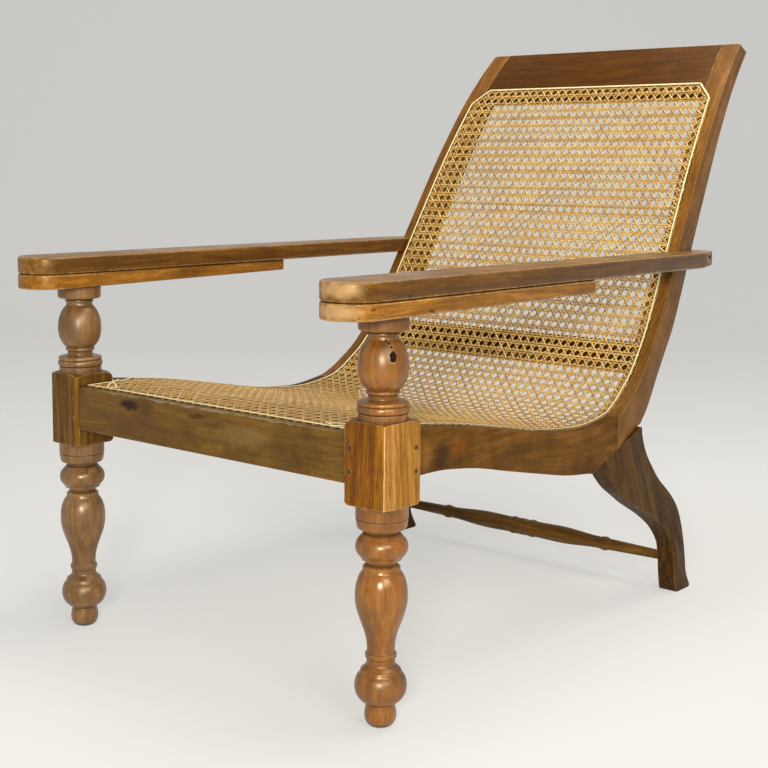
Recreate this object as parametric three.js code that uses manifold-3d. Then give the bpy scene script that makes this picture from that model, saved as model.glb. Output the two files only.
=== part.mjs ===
// A planter's chair: a long reclining armchair with a cane seat and back in one sweep,
// turned front legs, and a leg rest under each arm that swings out on the leg's tenon.
// Millimetres, +Z up, +X to the right of someone who looks at its front, +Y to its back.

import * as THREE from 'three';
import { mergeVertices } from 'three/addons/utils/BufferGeometryUtils.js';
import Module from 'manifold-3d';

const wasm = await Module();
wasm.setup();

// Clearances
const seam = 0.3;
const swingGap = 0.6;
const overrun = 4;

// Front legs
const legSpacing = 650;
const blockSide = 73;
const blockBottom = 312.5;
const blockTop = 427;
const turnRadius = 36.5;
const collarTop = 569.8;
const tenonRadius = 12;
const tenonReach = 17.5;
const frontFacetWidth = 20;
const frontFacetDepth = 2.2;
const sideFacetWidth = 22;
const sideFacetDepth = 4.7;
const shoulderRound = 17.5;
const shoulderRise = 2.5;
const shoulderFoot = 3.5;
const shoulderStartDegrees = 20;

// Arms and leg rests
const armTop = 622;
const armThickness = 27.5;
const armOutward = 47;
const armInwardFront = 45;
const armInwardBack = 20;
const armFront = 107;
const armTaperStart = 826;
const armBack = 900;
const armEndOutward = 27;
const armEndRound = 9;
const restThickness = 23.5;
const restEndThickness = 20;
const restBack = 466;
const restInwardBack = 17;
const restEndRound = 6;
const edgeBevel = 2;

// Side frames: seat rail, back stile and rear leg
const sideOutward = 16;
const sideThickness = 38;
const kneeJoint = 597;
const railTop = 410;
const railLow = 346;
const railBottomFront = 344;
const railBottomLow = 273;
const backRun = 511;
const backTop = 1009;
const backCantDegrees = 5.9;
const jointFront = 545;
const jointFrontHeight = 283;
const jointBack = 677;
const jointBackHeight = 327;
const stileOverhang = 12;
const rearLegThickness = 33;
const heelBack = 874;
const wingSetback = 5;
const wingRun = 56;
const wingDrop = 100;

// Cross pieces
const frontRailFace = 33;
const frontRailThickness = 40;
const frontRailBottom = 341;
const crestHeight = 130;
const crestThickness = 24;
const crestCornerRound = 10;
const crossRailUp = 155;
const crossRailHeight = 52;
const crossRailThickness = 20;
const stretcherHeight = 62;
const stretcherPlace = 827;
const stretcherRadius = 17;
const stretcherTenonRadius = 7.5;
const stretcherTenonLength = 20;

// Tenons, pegs and dowels
const tenonThickness = 12;
const tenonDepth = 26;
const slatTenonShare = 0.7;
const kneeTenonHeight = 28;
const slatTenonThickness = 10;
const pegRadius = 3.5;
const pegDepth = 46;
const pegInset = 9.5;
const pegSpacing = 33;
const pegEdge = 3;
const armPinRadius = 2.5;
const armPinHeight = 9;
const armPegRadius = 4;
const armPegPlace = 866;
const armPegHeight = 18;
const armPegDepth = 24;
const dowelRadius = 5;
const dowelLength = 44;

// Cane
const caneFront = 17;
const caneLift = 1;
const caneThickness = 2.4;
const caneSeatInset = 26;
const caneBackInset = 20;
const caneInsetRun = 190;
const caneTopDrop = 108;
const caneCorner = 30;
const caneCornerRows = 0.5;
const caneBlockRows = 1;
const caneColumns = 8;
const caneRows = 16;
const binderWidth = 4;
const binderThickness = 1.4;
const binderLift = 0.5;

// Fineness of round work
const legSides = 16;
const pegSides = 10;
const curveSteps = 3;
const edgeSteps = 2;
const armEndSteps = 12;
const crestCornerSteps = 4;
const shoulderSteps = 3;
const cornersPerFace = 3;

const half = (size) => size / 2;
const legPlace = half(legSpacing);
const armOuter = legPlace + armOutward;
const armInnerFront = legPlace - armInwardFront;
const armInnerBack = legPlace - armInwardBack;
const armEndOuter = legPlace + armEndOutward;
const restInnerBack = legPlace - restInwardBack;
const sideOuter = legPlace + sideOutward;
const blockHalf = half(blockSide);
const armBottom = armTop - armThickness;
const restTop = armBottom - seam;
const sideInner = sideOuter - sideThickness;
const sideMiddle = sideOuter - half(sideThickness);
const railStart = blockHalf + seam;
const jointRise = (jointBackHeight - jointFrontHeight) / (jointBack - jointFront);
const jointBottom = jointFrontHeight + jointRise * (kneeJoint - jointFront);
const railTenonHeight = pegSpacing + 2 * (pegRadius + pegEdge);

// Finishes
const finish = (color, roughness) => new THREE.MeshStandardMaterial({ color, roughness, metalness: 0 });
const legWood = finish(0x8f5f33, 0.42);
const armWood = finish(0x86623a, 0.45);
const restWood = finish(0x9c6a2e, 0.48);
const railWood = finish(0x6f5a2c, 0.5);
const sideWood = finish(0x7d5427, 0.45);
const crestWood = finish(0x644119, 0.45);
const pegWood = finish(0x5a3a1c, 0.6);
const caneStraw = finish(0xc9a466, 0.55);
const binderStraw = finish(0xe2c486, 0.5);

// Solids: a closed mesh becomes a solid, joins and cuts work on solids, and a solid becomes a mesh.
function solidOf(geometry) {
  const bare = new THREE.BufferGeometry();
  bare.setAttribute('position', geometry.getAttribute('position').clone());
  if (geometry.index) bare.setIndex(geometry.index.clone());
  const merged = mergeVertices(bare);
  const corners = merged.index.array;
  const kept = [];
  for (let first = 0; first < corners.length; first += cornersPerFace) {
    const [a, b, c] = corners.slice(first, first + cornersPerFace);
    if (a !== b && b !== c && c !== a) kept.push(a, b, c);
  }
  const vertProperties = merged.getAttribute('position').array;
  const mesh = new wasm.Mesh({
    numProp: cornersPerFace,
    vertProperties,
    triVerts: Uint32Array.from(kept),
  });
  return new wasm.Manifold(mesh);
}

function geometryOf(solid) {
  const mesh = solid.getMesh();
  const geometry = new THREE.BufferGeometry();
  geometry.setAttribute('position', new THREE.BufferAttribute(mesh.vertProperties, cornersPerFace));
  geometry.setIndex(new THREE.BufferAttribute(mesh.triVerts, 1));
  return geometry;
}

const joined = (solids) => solids.reduce((sum, solid) => sum.add(solid));
const cut = (solid, cutters) => cutters.reduce((rest, cutter) => rest.subtract(cutter), solid);

function mirrored(geometry) {
  const copy = geometry.clone().scale(-1, 1, 1);
  const corners = copy.index.array;
  for (let first = 0; first < corners.length; first += cornersPerFace) {
    [corners[first], corners[first + 1]] = [corners[first + 1], corners[first]];
  }
  return copy;
}

function box(low, high) {
  const size = new THREE.Vector3().subVectors(high, low);
  const centre = new THREE.Vector3().addVectors(low, high).divideScalar(2);
  return solidOf(new THREE.BoxGeometry(size.x, size.y, size.z).translate(centre.x, centre.y, centre.z));
}

const at = (x, y, z) => new THREE.Vector3(x, y, z);
const point = (x, y) => new THREE.Vector2(x, y);

function peg(from, to, radius, sides = pegSides) {
  const along = new THREE.Vector3().subVectors(to, from);
  const geometry = new THREE.CylinderGeometry(radius, radius, along.length(), sides);
  const turn = new THREE.Quaternion().setFromUnitVectors(at(0, 1, 0), along.clone().normalize());
  const middle = new THREE.Vector3().addVectors(from, to).divideScalar(2);
  return solidOf(geometry.applyQuaternion(turn).translate(middle.x, middle.y, middle.z));
}

// Outlines drawn from the side (y, z) are extruded along X between two places.
const sideways = new THREE.Matrix4().makeBasis(at(0, 1, 0), at(0, 0, 1), at(1, 0, 0));

function plank(outline, from, to) {
  const geometry = new THREE.ExtrudeGeometry(new THREE.Shape(outline), {
    depth: to - from,
    bevelEnabled: false,
  });
  return geometry.applyMatrix4(sideways).translate(from, 0, 0);
}

// The back leans inwards towards the top: its planks slide towards the middle as they run back.
const cantSlope = Math.tan(THREE.MathUtils.degToRad(backCantDegrees));
const cantAt = (y) => cantSlope * (y - kneeJoint);

function canted(geometry) {
  const places = geometry.getAttribute('position');
  for (let i = 0; i < places.count; i += 1) {
    places.setX(i, places.getX(i) - cantAt(places.getY(i)));
  }
  return geometry;
}

// A board across the back ends on the canted inner faces of the stiles, or `reach` inside them.
function boardBetweenStiles(outline, reach) {
  const geometry = plank(outline, -1, 1);
  const places = geometry.getAttribute('position');
  for (let i = 0; i < places.count; i += 1) {
    const span = sideInner - cantAt(places.getY(i)) + reach;
    places.setX(i, places.getX(i) * span);
  }
  return solidOf(geometry);
}

// Turned work. A row is [curve, height share, radius share]; the curves are line, swell (an S that
// is upright at both ends), crown (a quarter-round out to upright) and its shorter arcs: bulge (out
// to upright) and round (from upright back in).
const shortArc = Math.PI / 3;
const arcUp = (t) => Math.sin(shortArc * t) / Math.sin(shortArc);
const arcIn = (t) => (1 - Math.cos(shortArc * t)) / (1 - Math.cos(shortArc));
const eases = {
  swell: (t) => [t, half(1 - Math.cos(Math.PI * t))],
  crown: (t) => [1 - Math.cos(half(Math.PI) * t), Math.sin(half(Math.PI) * t)],
  bulge: (t) => [1 - arcUp(1 - t), 1 - arcIn(1 - t)],
  round: (t) => [arcUp(t), arcIn(t)],
};

function turnedPoints(rows, bottom, height, radius) {
  const points = [];
  let last = null;
  for (const [curve, heightShare, radiusShare] of rows) {
    const next = point(radius * radiusShare, bottom + height * heightShare);
    if (curve === 'line' || last === null) {
      points.push(next);
    } else {
      for (let step = 1; step <= curveSteps; step += 1) {
        const [up, out] = eases[curve](step / curveSteps);
        points.push(point(last.x + (next.x - last.x) * out, last.y + (next.y - last.y) * up));
      }
    }
    last = next;
  }
  return points;
}

function turned(points, sides) {
  const profile = [point(0, points[0].y), ...points, point(0, points[points.length - 1].y)];
  return solidOf(new THREE.LatheGeometry(profile, sides).rotateX(half(Math.PI)));
}

const lowerTurningShares = [
  ['line', 0, 0.3],
  ['crown', 0.052, 0.615],
  ['line', 0.072, 0.6],
  ['line', 0.1, 0.545],
  ['line', 0.106, 0.6],
  ['bulge', 0.184, 1],
  ['round', 0.24, 0.835],
  ['line', 0.244, 0.81],
  ['line', 0.252, 0.785],
  ['swell', 0.288, 0.545],
  ['line', 0.307, 0.545],
  ['line', 0.316, 0.6],
  ['line', 0.332, 0.6],
  ['line', 0.34, 0.53],
  ['line', 0.358, 0.535],
  ['swell', 0.586, 1],
  ['line', 0.6, 1],
  ['round', 0.702, 0.745],
  ['line', 0.706, 0.72],
  ['line', 0.724, 0.71],
  ['line', 0.741, 0.57],
  ['line', 0.748, 0.575],
  ['line', 0.757, 0.76],
  ['line', 0.774, 0.84],
  ['bulge', 0.814, 1],
  ['round', 0.852, 0.87],
  ['line', 0.857, 0.835],
  ['line', 0.881, 0.655],
  ['line', 0.886, 0.66],
  ['line', 0.894, 0.85],
  ['crown', 0.911, 0.955],
  ['line', 0.928, 0.985],
  ['line', 0.938, 0.985],
  ['line', 0.941, 0.96],
  ['line', 0.944, 1],
  ['line', 1, 1],
];

const upperTurningShares = [
  ['line', 0, 1],
  ['line', 0.085, 1],
  ['line', 0.09, 0.965],
  ['line', 0.095, 1],
  ['line', 0.16, 0.99],
  ['line', 0.165, 0.965],
  ['line', 0.17, 0.985],
  ['line', 0.205, 0.97],
  ['line', 0.217, 0.6],
  ['line', 0.225, 0.565],
  ['line', 0.262, 0.565],
  ['line', 0.278, 0.645],
  ['line', 0.302, 0.645],
  ['line', 0.308, 0.63],
  ['bulge', 0.518, 0.985],
  ['line', 0.53, 0.985],
  ['round', 0.776, 0.56],
  ['line', 0.785, 0.545],
  ['line', 0.817, 0.545],
  ['line', 0.833, 0.78],
  ['line', 0.85, 0.88],
  ['line', 0.885, 0.9],
  ['line', 0.895, 0.945],
  ['line', 1, 0.945],
];

// Pegs that lock the rails' tenons in the leg block, seen from the front and from the side
const pegHeights = [0, 1].map((row) => half(railTop + frontRailBottom) + (row - half(1)) * pegSpacing);
const frontPegPlace = legPlace - blockHalf + pegInset;
const sidePegPlace = blockHalf - pegInset;

const frontPegs = (radius) => pegHeights.map((height) => peg(
  at(frontPegPlace, -blockHalf, height),
  at(frontPegPlace, pegDepth - blockHalf, height),
  radius,
));
const sidePegs = (radius) => pegHeights.map((height) => peg(
  at(legPlace + blockHalf, sidePegPlace, height),
  at(legPlace + blockHalf - pegDepth, sidePegPlace, height),
  radius,
));

// Tenons, as long as the wood they stand on plus `grow` all round
const frontTenonMiddle = half(tenonThickness) - frontRailFace + pegInset;
const railMiddle = half(railTop + frontRailBottom);

function frontRailTenon(grow) {
  const reach = half(tenonThickness) + grow;
  const rise = half(railTenonHeight) + grow;
  return box(
    at(legPlace - blockHalf - overrun, frontTenonMiddle - reach, railMiddle - rise),
    at(legPlace - blockHalf + tenonDepth + grow, frontTenonMiddle + reach, railMiddle + rise),
  );
}

function seatRailTenon(grow) {
  const reach = half(tenonThickness) + grow;
  const rise = half(railTenonHeight) + grow;
  return box(
    at(sideMiddle - reach, blockHalf - tenonDepth - grow, railMiddle - rise),
    at(sideMiddle + reach, railStart + overrun, railMiddle + rise),
  );
}

const kneeTenonMiddle = half(jointBottom + railLow) + half(overrun);

function kneeTenon(grow) {
  const reach = half(tenonThickness) + grow;
  const rise = half(kneeTenonHeight) + grow;
  return box(
    at(sideMiddle - reach, kneeJoint - overrun, kneeTenonMiddle - rise),
    at(sideMiddle + reach, kneeJoint + tenonDepth + grow, kneeTenonMiddle + rise),
  );
}

// Front leg: turned above and below a square block, with the tenon that the leg rest turns on
function block() {
  const outline = [
    point(-blockHalf, -blockHalf),
    point(blockHalf - frontFacetWidth, -blockHalf),
    point(blockHalf - sideFacetDepth, frontFacetDepth - blockHalf),
    point(blockHalf, sideFacetWidth - blockHalf),
    point(blockHalf, blockHalf),
    point(-blockHalf, blockHalf),
  ];
  const geometry = new THREE.ExtrudeGeometry(new THREE.Shape(outline), {
    depth: blockTop + shoulderRise - blockBottom,
    bevelEnabled: false,
  });
  return solidOf(geometry.translate(0, 0, blockBottom)).intersect(shoulders());
}

// The lathe rounds the block's upper shoulder down to its corners and breaks the lower one
function shoulders() {
  const corner = blockHalf * Math.SQRT2;
  const start = THREE.MathUtils.degToRad(shoulderStartDegrees);
  const points = [
    point(corner - shoulderFoot, blockBottom),
    point(corner + overrun, blockBottom + shoulderFoot + overrun),
  ];
  for (let step = 0; step <= shoulderSteps; step += 1) {
    const angle = start + (half(Math.PI) - start) * (step / shoulderSteps);
    points.push(point(
      turnRadius + shoulderRound * Math.cos(angle),
      blockTop + shoulderRise + shoulderRound * (Math.sin(angle) - 1),
    ));
  }
  return turned(points, 2 * legSides);
}

function frontLeg() {
  const upperHeight = collarTop - blockTop;
  const points = [
    ...turnedPoints(lowerTurningShares, 0, blockBottom, turnRadius),
    ...turnedPoints(upperTurningShares, blockTop, upperHeight, turnRadius),
    point(tenonRadius, collarTop),
    point(tenonRadius, armBottom + tenonReach),
  ];
  const wood = joined([turned(points, legSides), block()]);
  return cut(wood.translate([legPlace, 0, 0]), [
    frontRailTenon(seam),
    seatRailTenon(seam),
    ...frontPegs(pegRadius + seam),
    ...sidePegs(pegRadius + seam),
    armPin(armPinRadius + seam, overrun),
  ]);
}

// Arms and leg rests share one plan: a half-round front end and a straight outer edge
const armWidth = armOuter - armInnerFront;
const armEndCentre = half(armWidth) - armFront;

function paddlePlan(inset, back, innerBack, outerBack, roundBack, taperStart) {
  const plan = new THREE.Shape();
  const outer = armOuter - inset;
  const inner = (y) => THREE.MathUtils.mapLinear(y, armEndCentre, back, armInnerFront, innerBack) + inset;
  const radius = half(armWidth) - inset;
  const end = back - inset;
  plan.moveTo(inner(end - roundBack), end - roundBack);
  plan.lineTo(armInnerFront + inset, armEndCentre);
  plan.absarc(armInnerFront + half(armWidth), armEndCentre, radius, Math.PI, 2 * Math.PI, false);
  if (taperStart) plan.lineTo(outer, taperStart);
  plan.lineTo(outerBack - inset, end - roundBack);
  plan.quadraticCurveTo(outerBack - inset, end, outerBack - inset - roundBack, end);
  plan.lineTo(inner(end) + roundBack, end);
  plan.quadraticCurveTo(inner(end), end, inner(end - roundBack), end - roundBack);
  return plan;
}

function paddle(plan, bottom, thickness) {
  const geometry = new THREE.ExtrudeGeometry(plan, {
    depth: thickness - 2 * edgeBevel,
    bevelEnabled: true,
    bevelThickness: edgeBevel,
    bevelSize: edgeBevel,
    bevelSegments: 1,
    curveSegments: armEndSteps,
  });
  return geometry.translate(0, 0, bottom + edgeBevel);
}

const armPin = (radius, stickOut) => peg(
  at(armOuter + stickOut, 0, armBottom + armPinHeight),
  at(armInnerFront - stickOut, 0, armBottom + armPinHeight),
  radius,
);

const armPegEnd = armOuter - (armOuter - armEndOuter) * ((armPegPlace - armTaperStart)
  / (armBack - armTaperStart));
const armPeg = (radius, stickOut) => peg(
  at(armPegEnd + stickOut, armPegPlace, armBottom + armPegHeight),
  at(sideOuter - cantAt(armPegPlace) - armPegDepth, armPegPlace, armBottom + armPegHeight),
  radius,
);

function legTenonHole(radius, top) {
  return peg(at(legPlace, 0, collarTop - overrun), at(legPlace, 0, top), radius, legSides);
}

function arm() {
  const plan = paddlePlan(edgeBevel, armBack, armInnerBack, armEndOuter, armEndRound, armTaperStart);
  const housings = [-seam, seam].map((shift) => stileBlank().translate([seam, shift, 0]));
  return cut(solidOf(paddle(plan, armBottom, armThickness)), [
    ...housings,
    legTenonHole(tenonRadius + seam, armBottom + tenonReach + seam),
    armPin(armPinRadius + seam, overrun),
    armPeg(armPegRadius + seam, overrun),
  ]);
}

function legRest() {
  const plan = paddlePlan(edgeBevel, restBack, restInnerBack, armOuter, restEndRound, 0);
  const geometry = paddle(plan, restTop - restThickness, restThickness);
  const droop = (restThickness - restEndThickness) / (restBack + armFront);
  const places = geometry.getAttribute('position');
  const middle = restTop - half(restThickness);
  for (let i = 0; i < places.count; i += 1) {
    const height = places.getZ(i);
    if (height > middle) places.setZ(i, height - droop * (places.getY(i) + armFront));
  }
  return cut(solidOf(geometry), [legTenonHole(tenonRadius + swingGap, armBottom)]);
}

// The line that the cane lies on: along the front rail and the seat rails, round the knee
// and up the stiles. Seat shares are of the run to the knee and of the rail's dip, back shares
// of the back's run and rise.
const seatLineShares = [
  [0.08, 0.97], [0.258, 0.773], [0.49, 0.406], [0.632, 0.172], [0.774, 0.031], [0.881, 0],
  [1, 0.14],
];
const backLineShares = [
  [0.055, 0.017], [0.104, 0.041], [0.202, 0.103], [0.315, 0.222], [0.431, 0.375], [0.546, 0.528],
  [0.667, 0.681], [0.804, 0.833], [0.922, 0.94], [1, 1],
];
const backLine = (shares) => {
  const [[, kneeShare]] = seatLineShares.slice(-1);
  const kneeHeight = railLow + (railTop - railLow) * kneeShare;
  return shares.map(([run, rise]) => point(
    kneeJoint + backRun * run,
    kneeHeight + (backTop - kneeHeight) * rise,
  ));
};
const seatLine = seatLineShares.map(([run, rise]) => point(
  railStart + (kneeJoint - railStart) * run,
  railLow + (railTop - railLow) * rise,
));
const sideLine = new THREE.SplineCurve([
  point(-caneFront, railTop),
  point(railStart, railTop),
  ...seatLine,
  ...backLine(backLineShares),
]);
const kneeKnot = seatLine.length + 1;

function stretchOfLine(curve, fromKnot, toKnot) {
  const points = [];
  const knots = curve.points.length - 1;
  for (let step = 0; step <= (toKnot - fromKnot) * edgeSteps; step += 1) {
    points.push(curve.getPoint((fromKnot + step / edgeSteps) / knots));
  }
  return points;
}

const wholeLine = (points) => stretchOfLine(new THREE.SplineCurve(points), 0, points.length - 1);

// Seat rail: shares of the run from the block to the leg joint and of the underside's fall
const railUndersideShares = [
  [0.955, -0.02], [0.908, 0.014], [0.792, 0.113], [0.655, 0.31], [0.48, 0.577], [0.318, 0.831],
  [0.194, 0.958], [0.116, 1], [0, 1],
];
const railUnderside = railUndersideShares.map(([run, rise]) => point(
  railStart + (jointFront - railStart) * run,
  railBottomLow + (railBottomFront - railBottomLow) * rise,
));

function seatRail() {
  const outline = [
    ...stretchOfLine(sideLine, 1, kneeKnot),
    point(kneeJoint, jointBottom),
    ...wholeLine([point(jointFront, jointFrontHeight), ...railUnderside]),
  ];
  const wood = joined([
    solidOf(plank(outline, sideInner, sideOuter)),
    seatRailTenon(0),
    kneeTenon(0),
  ]);
  return cut(wood, [...sidePegs(pegRadius + seam), ...legDowels(dowelRadius + seam, seam)]);
}

// Back stile: its rear edge in shares of the back's run and rise
const stileRearShares = [
  [1.068, 0.982], [0.98, 0.908], [0.911, 0.842], [0.845, 0.767], [0.759, 0.658], [0.583, 0.414],
  [0.503, 0.296], [0.432, 0.199], [0.366, 0.135], [0.301, 0.071], [0.239, 0.006],
];

// The stile's heel reaches a little past the leg's top
const stileHeel = point(jointBack + stileOverhang, jointBackHeight + jointRise * stileOverhang);

function stileBlank() {
  const outline = [
    ...stretchOfLine(sideLine, kneeKnot, sideLine.points.length - 1),
    ...wholeLine([...backLine(stileRearShares), stileHeel]),
    point(kneeJoint + seam, jointBottom),
  ];
  outline[0].x += seam;
  return solidOf(canted(plank(outline, sideInner, sideOuter)));
}

// The stile's top outer corner is rounded off: this takes away what is outside the round
function crestCorner() {
  const round = crestCornerRound;
  const waste = new THREE.Shape();
  waste.moveTo(-round, overrun);
  waste.lineTo(-round, 0);
  waste.absarc(-round, -round, round, half(Math.PI), 0, true);
  waste.lineTo(overrun, -round);
  waste.lineTo(overrun, overrun);
  const depth = crestThickness * 2;
  const geometry = new THREE.ExtrudeGeometry(waste, {
    depth,
    bevelEnabled: false,
    curveSegments: crestCornerSteps,
  });
  const { spot, along, out } = placeOnLine(lineLength);
  const turn = new THREE.Matrix4().makeBasis(at(1, 0, 0), at(0, along.x, along.y), at(0, out.x, out.y));
  geometry.translate(0, 0, overrun - depth).applyMatrix4(turn);
  return solidOf(geometry.translate(sideOuter - cantAt(spot.x), spot.x, spot.y));
}

function backStile() {
  return cut(stileBlank(), [
    crestCorner(),
    kneeTenon(seam),
    crestTenon(seam),
    crossRailTenon(seam),
    armPeg(armPegRadius + seam, overrun),
    ...legDowels(dowelRadius + seam, seam),
  ]);
}

// Rear leg: both edges in shares of the reach from the knee to the heel, and of the height of the
// joint's front or back end
const heelReach = heelBack - kneeJoint;
const legFrontShares = [
  [-0.018, 0.834], [0.101, 0.756], [0.253, 0.668], [0.44, 0.572], [0.588, 0.481],
  [0.671, 0.41], [0.736, 0.325], [0.762, 0.216], [0.773, 0.124], [0.798, 0],
];
const legRearShares = [
  [1, 0], [0.935, 0.095], [0.917, 0.171], [0.888, 0.281], [0.845, 0.391], [0.783, 0.492],
  [0.679, 0.584], [0.527, 0.685], [0.426, 0.774], [0.35, 0.856], [0.303, 0.94],
];
const legEdge = (shares, height) => shares.map(([run, rise]) => point(
  kneeJoint + heelReach * run,
  height * rise,
));

function rearLegBlank() {
  const frontTop = point(jointFront, jointFrontHeight - seam);
  const rearTop = point(jointBack, jointBackHeight - seam);
  const outline = [
    ...wholeLine([frontTop, ...legEdge(legFrontShares, jointFrontHeight)]),
    ...wholeLine([...legEdge(legRearShares, jointBackHeight), rearTop]),
  ];
  return solidOf(plank(outline, sideOuter - rearLegThickness, sideOuter));
}

// The leg is widened at the top front by a wing, glued on along a straight saw line
function wingSide(shift) {
  const line = point(wingRun, -wingDrop);
  const reach = line.length() * 2;
  const saw = new THREE.BoxGeometry(2 * sideOuter, reach, 2 * reach);
  saw.translate(0, -half(reach) - shift, 0);
  saw.rotateX(half(Math.PI) + Math.atan2(line.y, line.x));
  return solidOf(saw.translate(0, kneeJoint - wingSetback, jointBottom));
}

const rearLeg = () => cut(rearLegBlank(), [
  wingSide(-seam),
  stretcherBar(stretcherTenonRadius + seam, stretcherTenonLength + seam),
  ...legDowels(dowelRadius + seam, seam),
]);
const rearLegWing = () => cut(
  rearLegBlank().intersect(wingSide(0)),
  legDowels(dowelRadius + seam, seam),
);

// Two dowels stand square to the joint between the rear leg and the side frame
const jointSlope = point(jointBack - jointFront, jointBackHeight - jointFrontHeight).normalize();
const dowelShares = [0.16, 0.7];

function legDowels(radius, grow) {
  const middle = sideOuter - half(rearLegThickness);
  const run = jointBack - jointFront;
  const rise = jointBackHeight - jointFrontHeight;
  return dowelShares.map((share) => {
    const foot = at(middle, jointFront + run * share, jointFrontHeight + rise * share);
    const up = at(0, -jointSlope.y, jointSlope.x).multiplyScalar(half(dowelLength) + grow);
    return peg(foot.clone().sub(up), foot.clone().add(up), radius);
  });
}

// Boards across the back: the crest rail and, behind the cane, the lower cross rail
const lineLength = sideLine.getLength();
const kneeDistance = sideLine.getLengths(lineSteps())[kneeKnot * edgeSteps];

function lineSteps() {
  return (sideLine.points.length - 1) * edgeSteps;
}

function placeOnLine(distance) {
  const share = THREE.MathUtils.clamp(distance / lineLength, 0, 1);
  const along = sideLine.getTangentAt(share);
  return { spot: sideLine.getPointAt(share), along, out: point(-along.y, along.x) };
}

// A board's section: it lies `drop` behind the cane line, from one distance up to another
function boardSection(from, to, drop, thickness) {
  const front = [];
  const rear = [];
  for (let step = 0; step <= curveSteps; step += 1) {
    const { spot, out } = placeOnLine(from + (to - from) * (step / curveSteps));
    front.push(spot.clone().addScaledVector(out, -drop));
    rear.unshift(spot.clone().addScaledVector(out, -drop - thickness));
  }
  return [...front, ...rear];
}

const crestMiddle = lineLength - half(crestHeight);
const crestTenonDrop = half(crestThickness - slatTenonThickness);
const crestTenon = (grow) => boardBetweenStiles(
  boardSection(
    crestMiddle - half(crestHeight) * slatTenonShare - grow,
    crestMiddle + half(crestHeight) * slatTenonShare + grow,
    crestTenonDrop - grow,
    slatTenonThickness + 2 * grow,
  ),
  tenonDepth + grow,
);
const crestRail = () => joined([
  boardBetweenStiles(boardSection(lineLength - crestHeight, lineLength, 0, crestThickness), -seam),
  crestTenon(0),
]);

const crossRailDrop = overrun + seam;
const crossRailTenonDrop = crossRailDrop + half(crossRailThickness - slatTenonThickness);
const crossRailMiddle = kneeDistance + crossRailUp;
const crossRailTenonRise = half(crossRailHeight) * slatTenonShare;
const crossRailTenon = (grow) => boardBetweenStiles(
  boardSection(
    crossRailMiddle - crossRailTenonRise - grow,
    crossRailMiddle + crossRailTenonRise + grow,
    crossRailTenonDrop - grow,
    slatTenonThickness + 2 * grow,
  ),
  tenonDepth - overrun + grow,
);
const crossRail = () => joined([
  boardBetweenStiles(
    boardSection(
      crossRailMiddle - half(crossRailHeight),
      crossRailMiddle + half(crossRailHeight),
      crossRailDrop,
      crossRailThickness,
    ),
    -seam,
  ),
  crossRailTenon(0),
]);

function frontRail() {
  const end = legPlace - blockHalf - seam;
  const wood = box(
    at(-end, -frontRailFace, frontRailBottom),
    at(end, frontRailThickness - frontRailFace, railTop),
  );
  const tenon = frontRailTenon(0);
  const pegHoles = frontPegs(pegRadius + seam);
  const mirrorOf = (solid) => solidOf(mirrored(geometryOf(solid)));
  return cut(joined([wood, tenon, mirrorOf(tenon)]), [...pegHoles, ...pegHoles.map(mirrorOf)]);
}

// Rear stretcher: rows run from the middle out, shares of the half span and the largest radius
const stretcherShares = [
  ['line', 0, 0.96],
  ['line', 0.05, 0.92],
  ['line', 0.062, 1],
  ['line', 0.08, 1],
  ['line', 0.092, 0.9],
  ['swell', 0.28, 0.95],
  ['swell', 0.575, 0.66],
  ['line', 0.59, 0.76],
  ['line', 0.615, 0.78],
  ['line', 0.635, 0.63],
  ['line', 1, 0.49],
];
const stretcherSpan = sideOuter - rearLegThickness;

function stretcherBar(radius, reach) {
  const end = at(stretcherSpan + reach, stretcherPlace, stretcherHeight);
  return peg(at(-end.x, end.y, end.z), end, radius);
}

function rearStretcher() {
  const right = turnedPoints(stretcherShares, 0, stretcherSpan - seam, stretcherRadius);
  const left = right.slice(1).reverse().map(({ x, y }) => point(x, -y));
  const geometry = geometryOf(turned([...left, ...right], pegSides));
  geometry.rotateY(half(Math.PI)).translate(0, stretcherPlace, stretcherHeight);
  return joined([solidOf(geometry), stretcherBar(stretcherTenonRadius, stretcherTenonLength)]);
}

// Cane: one net from the front rail to the crest, its holes eight-sided as the weave leaves them.
// `side` runs from -1 to 1 across the seat, `row` along it, and `lift` stands off the wood.
const caneLength = lineLength - caneTopDrop;
const rowLength = caneLength / caneRows;

function caneHalfWidth(row) {
  const distance = row * rowLength;
  const y = placeOnLine(distance).spot.x;
  const share = THREE.MathUtils.clamp((distance - kneeDistance) / caneInsetRun, 0, 1);
  const inset = caneSeatInset + (caneBackInset - caneSeatInset) * share;
  const side = sideOuter - Math.max(cantAt(y), 0) - inset;
  const besideBlock = legPlace - blockHalf - seam - half(binderWidth);
  const fromBlock = THREE.MathUtils.clamp((row - caneBlockRows) / caneCornerRows, 0, 1);
  const toCrest = Math.max(row - (caneRows - caneCornerRows), 0) / caneCornerRows;
  return besideBlock + (side - besideBlock) * fromBlock - caneCorner * toCrest;
}

function canePoint(side, row, lift) {
  const { spot, out } = placeOnLine(row * rowLength);
  const raised = spot.clone().addScaledVector(out, caneLift + lift);
  return at(side * caneHalfWidth(row), raised.x, raised.y);
}

const strandShare = 0.17;
const holeCornerShare = 0.2;

// A cell is a ring between its border, with corners and middles, and its eight-sided hole
function cellRings() {
  const near = strandShare;
  const far = 1 - strandShare;
  const turn = strandShare + holeCornerShare;
  const back = 1 - turn;
  const middle = half(1);
  return {
    border: [[0, 0], [middle, 0], [1, 0], [1, middle], [1, 1], [middle, 1], [0, 1], [0, middle]],
    hole: [
      [near, turn], [turn, near], [back, near], [far, turn],
      [far, back], [back, far], [turn, far], [near, back],
    ],
  };
}

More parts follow.
